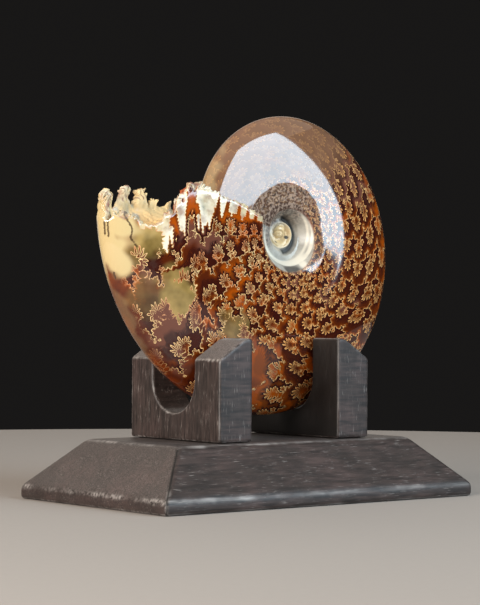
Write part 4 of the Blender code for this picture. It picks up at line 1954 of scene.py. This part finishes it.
@dataclass
class BasePlate(StandPart):
    """The plate: a low upright side, then a long slope to the flat top."""

    side: float = 6.2
    top_length: float = 138.5
    top_width: float = 69.5

    def planes(self, x: Array, y: Array, z: Array) -> list[Array]:
        """List the faces as distances, negative inside.

        Args:
            x: Places from end to end.
            y: Places from front to back.
            z: Places from the table up.

        Returns:
            One distance field for each face.
        """
        low, high = self.box()
        half_x, half_y = high[0], high[1]
        rise = high[2] - self.side
        faces = [np.abs(x) - half_x, np.abs(y) - half_y, z - high[2], low[2] - z]
        for value, half, top in ((x, half_x, self.top_length / 2), (y, half_y, self.top_width / 2)):
            run = half - top
            size = math.hypot(rise, run)
            faces.append(((np.abs(value) - half) * rise + (z - self.side) * run) / size)
        return faces

    def seam_gap(self, points: Array) -> Array:
        """Distance to the lines up the corners, which are drawn darker.

        Args:
            points: The piece's vertices.

        Returns:
            One distance for each.
        """
        _, high = self.box()
        x, y, z = np.abs(points[:, 0]), np.abs(points[:, 1]), points[:, 2]
        climb = np.clip((z - self.side) / (high[2] - self.side), 0.0, 1.0)
        corner_x = high[0] + (self.top_length / 2 - high[0]) * climb
        corner_y = high[1] + (self.top_width / 2 - high[1]) * climb
        gap = np.abs((x - corner_x) - (y - corner_y)) / math.sqrt(2.0)
        return np.where(climb < 0.93, gap, 99.0)


@dataclass
class Upright(StandPart):
    """A notched board across one end of the plate's flat top."""

    chamfer_run: float = 14.8
    chamfer_drop: float = 9.4
    notch_radius: float = 15.4
    notch_centre: float = 56.0
    notch_shift: float = 1.0

    def planes(self, x: Array, y: Array, z: Array) -> list[Array]:
        """List the faces as distances, negative inside.

        Args:
            x: Places from end to end.
            y: Places from front to back.
            z: Places from the table up.

        Returns:
            One distance field for each face, and one for the notch.
        """
        low, high = self.box()
        middle = (low + high) / 2
        half = (high - low) / 2
        side = math.copysign(1.0, middle[0])
        outer = side * (x - middle[0]) - half[0]
        slope = (outer * self.chamfer_drop + (z - high[2] + self.chamfer_drop) * self.chamfer_run)
        slope = slope / math.hypot(self.chamfer_drop, self.chamfer_run)
        drop = np.minimum(z - self.notch_centre, 0.0)
        notch = self.notch_radius - np.hypot(y - self.notch_shift, drop)
        return [np.abs(x - middle[0]) - half[0], np.abs(y - middle[1]) - half[1],
                z - high[2], low[2] - z, slope, notch]


# ----------------------------------------------------------------- the studio


@dataclass(frozen=True)
class MattePaper:
    """Plain pale backdrop paper, so that only the object carries colour."""

    shade: str = "#989089"

    def make(self) -> bpy.types.Material:
        """Build the material.

        Returns:
            The finished material.
        """
        made, node = blank("matte_paper")
        place = node("TexCoord", out="Object")
        fibre = node("TexNoise", {"Vector": place, "Scale": 0.3 / MM, "Detail": 3.0})
        tone = node("MapRange", (fibre, 0.0, 1.0, 0.97, 1.03))
        shade = node("Mix", {0: 1.0, 6: linear(self.shade), 7: tone}, blend_type="MULTIPLY",
                     **COLOURS)
        shader = node("BsdfPrincipled", {"Base Color": shade, "Roughness": 0.85})
        node("OutputMaterial", {"Surface": shader})
        return made


@dataclass
class Studio:
    """Floor, lights and camera. Angles are in degrees, lengths in metres."""

    camera_place: tuple[float, float, float] = (-0.62634, -0.75856, 0.08413)
    camera_turn: float = 39.259
    camera_rise: float = 0.417
    camera_roll: float = 0.328
    lens: float = 124.67
    floor_radius: float = 0.60

    def floor(self) -> bpy.types.Object:
        """Lay the pale floor.

        Returns:
            The floor.
        """
        ring = np.linspace(0.0, TURN, 97)[:-1]
        rim = np.stack([np.cos(ring), np.sin(ring), 0.0 * ring], axis=1) * self.floor_radius
        mesh = bpy.data.meshes.new("floor")
        mesh.from_pydata([tuple(p) for p in rim], [], [tuple(range(len(rim)))])
        mesh.materials.append(MattePaper().make())
        made = bpy.data.objects.new("floor", mesh)
        bpy.context.scene.collection.objects.link(made)
        return made

    def light(self, name: str, turn: float, rise: float, distance: float,
              size: tuple[float, float], power: float, tint: str,
              tilt: float = 0.0, roll: float = 0.0) -> bpy.types.Object:
        """Hang one flat soft light that faces the shell.

        Args:
            name: The light's name.
            turn: Direction from straight in front, to the right.
            rise: Direction above level.
            distance: From the shell.
            size: Width and height.
            power: In watts.
            tint: Its colour.
            tilt: How far its top leans back, away from the shell.
            roll: How far it is turned in its own plane.

        Returns:
            The light.
        """
        data = bpy.data.lights.new(name, "AREA")
        data.shape = "RECTANGLE"
        data.size, data.size_y = size
        data.energy = power
        data.color = linear(tint)[:3]
        made = bpy.data.objects.new(name, data)
        bpy.context.scene.collection.objects.link(made)
        a, e = math.radians(turn), math.radians(rise)
        way = Vector((math.sin(a) * math.cos(e), -math.cos(a) * math.cos(e), math.sin(e)))
        made.location = Vector((0.016, 0.0, 0.125)) + way * distance
        facing = way.to_track_quat("Z", "Y") @ Quaternion((1.0, 0.0, 0.0), math.radians(tilt))
        facing = facing @ Quaternion((0.0, 0.0, 1.0), math.radians(roll))
        made.rotation_euler = facing.to_euler()
        return made

    def camera(self) -> bpy.types.Object:
        """Set the camera low and to the left, level with the stand.

        Returns:
            The camera, which is made the scene's own.
        """
        turn, rise = math.radians(self.camera_turn), math.radians(self.camera_rise)
        roll = math.radians(self.camera_roll)
        ahead = Vector((math.sin(turn) * math.cos(rise), math.cos(turn) * math.cos(rise),
                        math.sin(rise)))
        right = Vector((math.cos(turn), -math.sin(turn), 0.0))
        up = right.cross(ahead)
        right, up = (right * math.cos(roll) + up * math.sin(roll),
                     up * math.cos(roll) - right * math.sin(roll))
        data = bpy.data.cameras.new("camera")
        data.lens = self.lens
        data.clip_start, data.clip_end = 0.05, 10.0
        made = bpy.data.objects.new("camera", data)
        bpy.context.scene.collection.objects.link(made)
        made.matrix_world = Matrix.Translation(self.camera_place) @ Matrix(
            (right, up, -ahead)).transposed().to_4x4()
        bpy.context.scene.camera = made
        return made

    def build(self) -> None:
        """Set up everything around the object."""
        self.camera()
        self.floor()
        self.light("front_softbox", 21.4, 30.5, 1.20, (0.77, 1.27), 31.5, "#D7EFFF", 59.9, -4.4)
        self.light("left_softbox", -76.0, 11.0, 1.3, (0.9, 0.5), 29.5, "#FFF8F0")
        self.light("top_softbox", -20.0, 78.0, 1.8, (4.6, 3.2), 26.0, "#FFF2E4")
        self.light("back_softbox", 165.0, 25.0, 1.8, (2.4, 2.0), 9.0, "#FFF2E4")
        world = bpy.data.worlds.new("room")
        world.use_nodes = True
        tree = world.node_tree
        tree.nodes.clear()
        sky = add(tree, "Background", {"Color": linear("#8E8A88"), "Strength": 0.035})
        add(tree, "OutputWorld", {"Surface": sky})
        bpy.context.scene.world = world
        bpy.context.scene.view_settings.view_transform = "Standard"


def main() -> None:
    """Build the studio, the stand and the fossil, in that order."""
    logging.basicConfig(level=logging.INFO, format="%(name)s: %(message)s")
    Studio().build()
    log.info("studio: camera, floor and lights")
    wood = StainedHardwood()
    # Squeezing the pattern along one axis draws the pores out along it.
    # The last number of each piece sets how much paler its tops and end slopes are painted, as
    # light from above.
    parts = (
        BasePlate("base_plate", "stand_base", 0.85, 1.7, (0.10, 1.6, 1.6), 0.11),
        Upright("left_upright", "upright_left", 0.6, 1.1, (1.0, 1.6, 0.10), 0.30),
        Upright("right_upright", "upright_right", 0.6, 1.1, (1.0, 1.6, 0.10), 0.30),
    )
    for part in parts:
        piece = part.build(wood)
        log.info("%s: %d faces", piece.name, len(piece.data.polygons))
    low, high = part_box("ammonite")
    for piece in Ammonite(low, high).build(PolishedCalcite().make()):
        log.info("%s: %d faces", piece.name, len(piece.data.polygons))


if __name__ == "__main__":
    main()
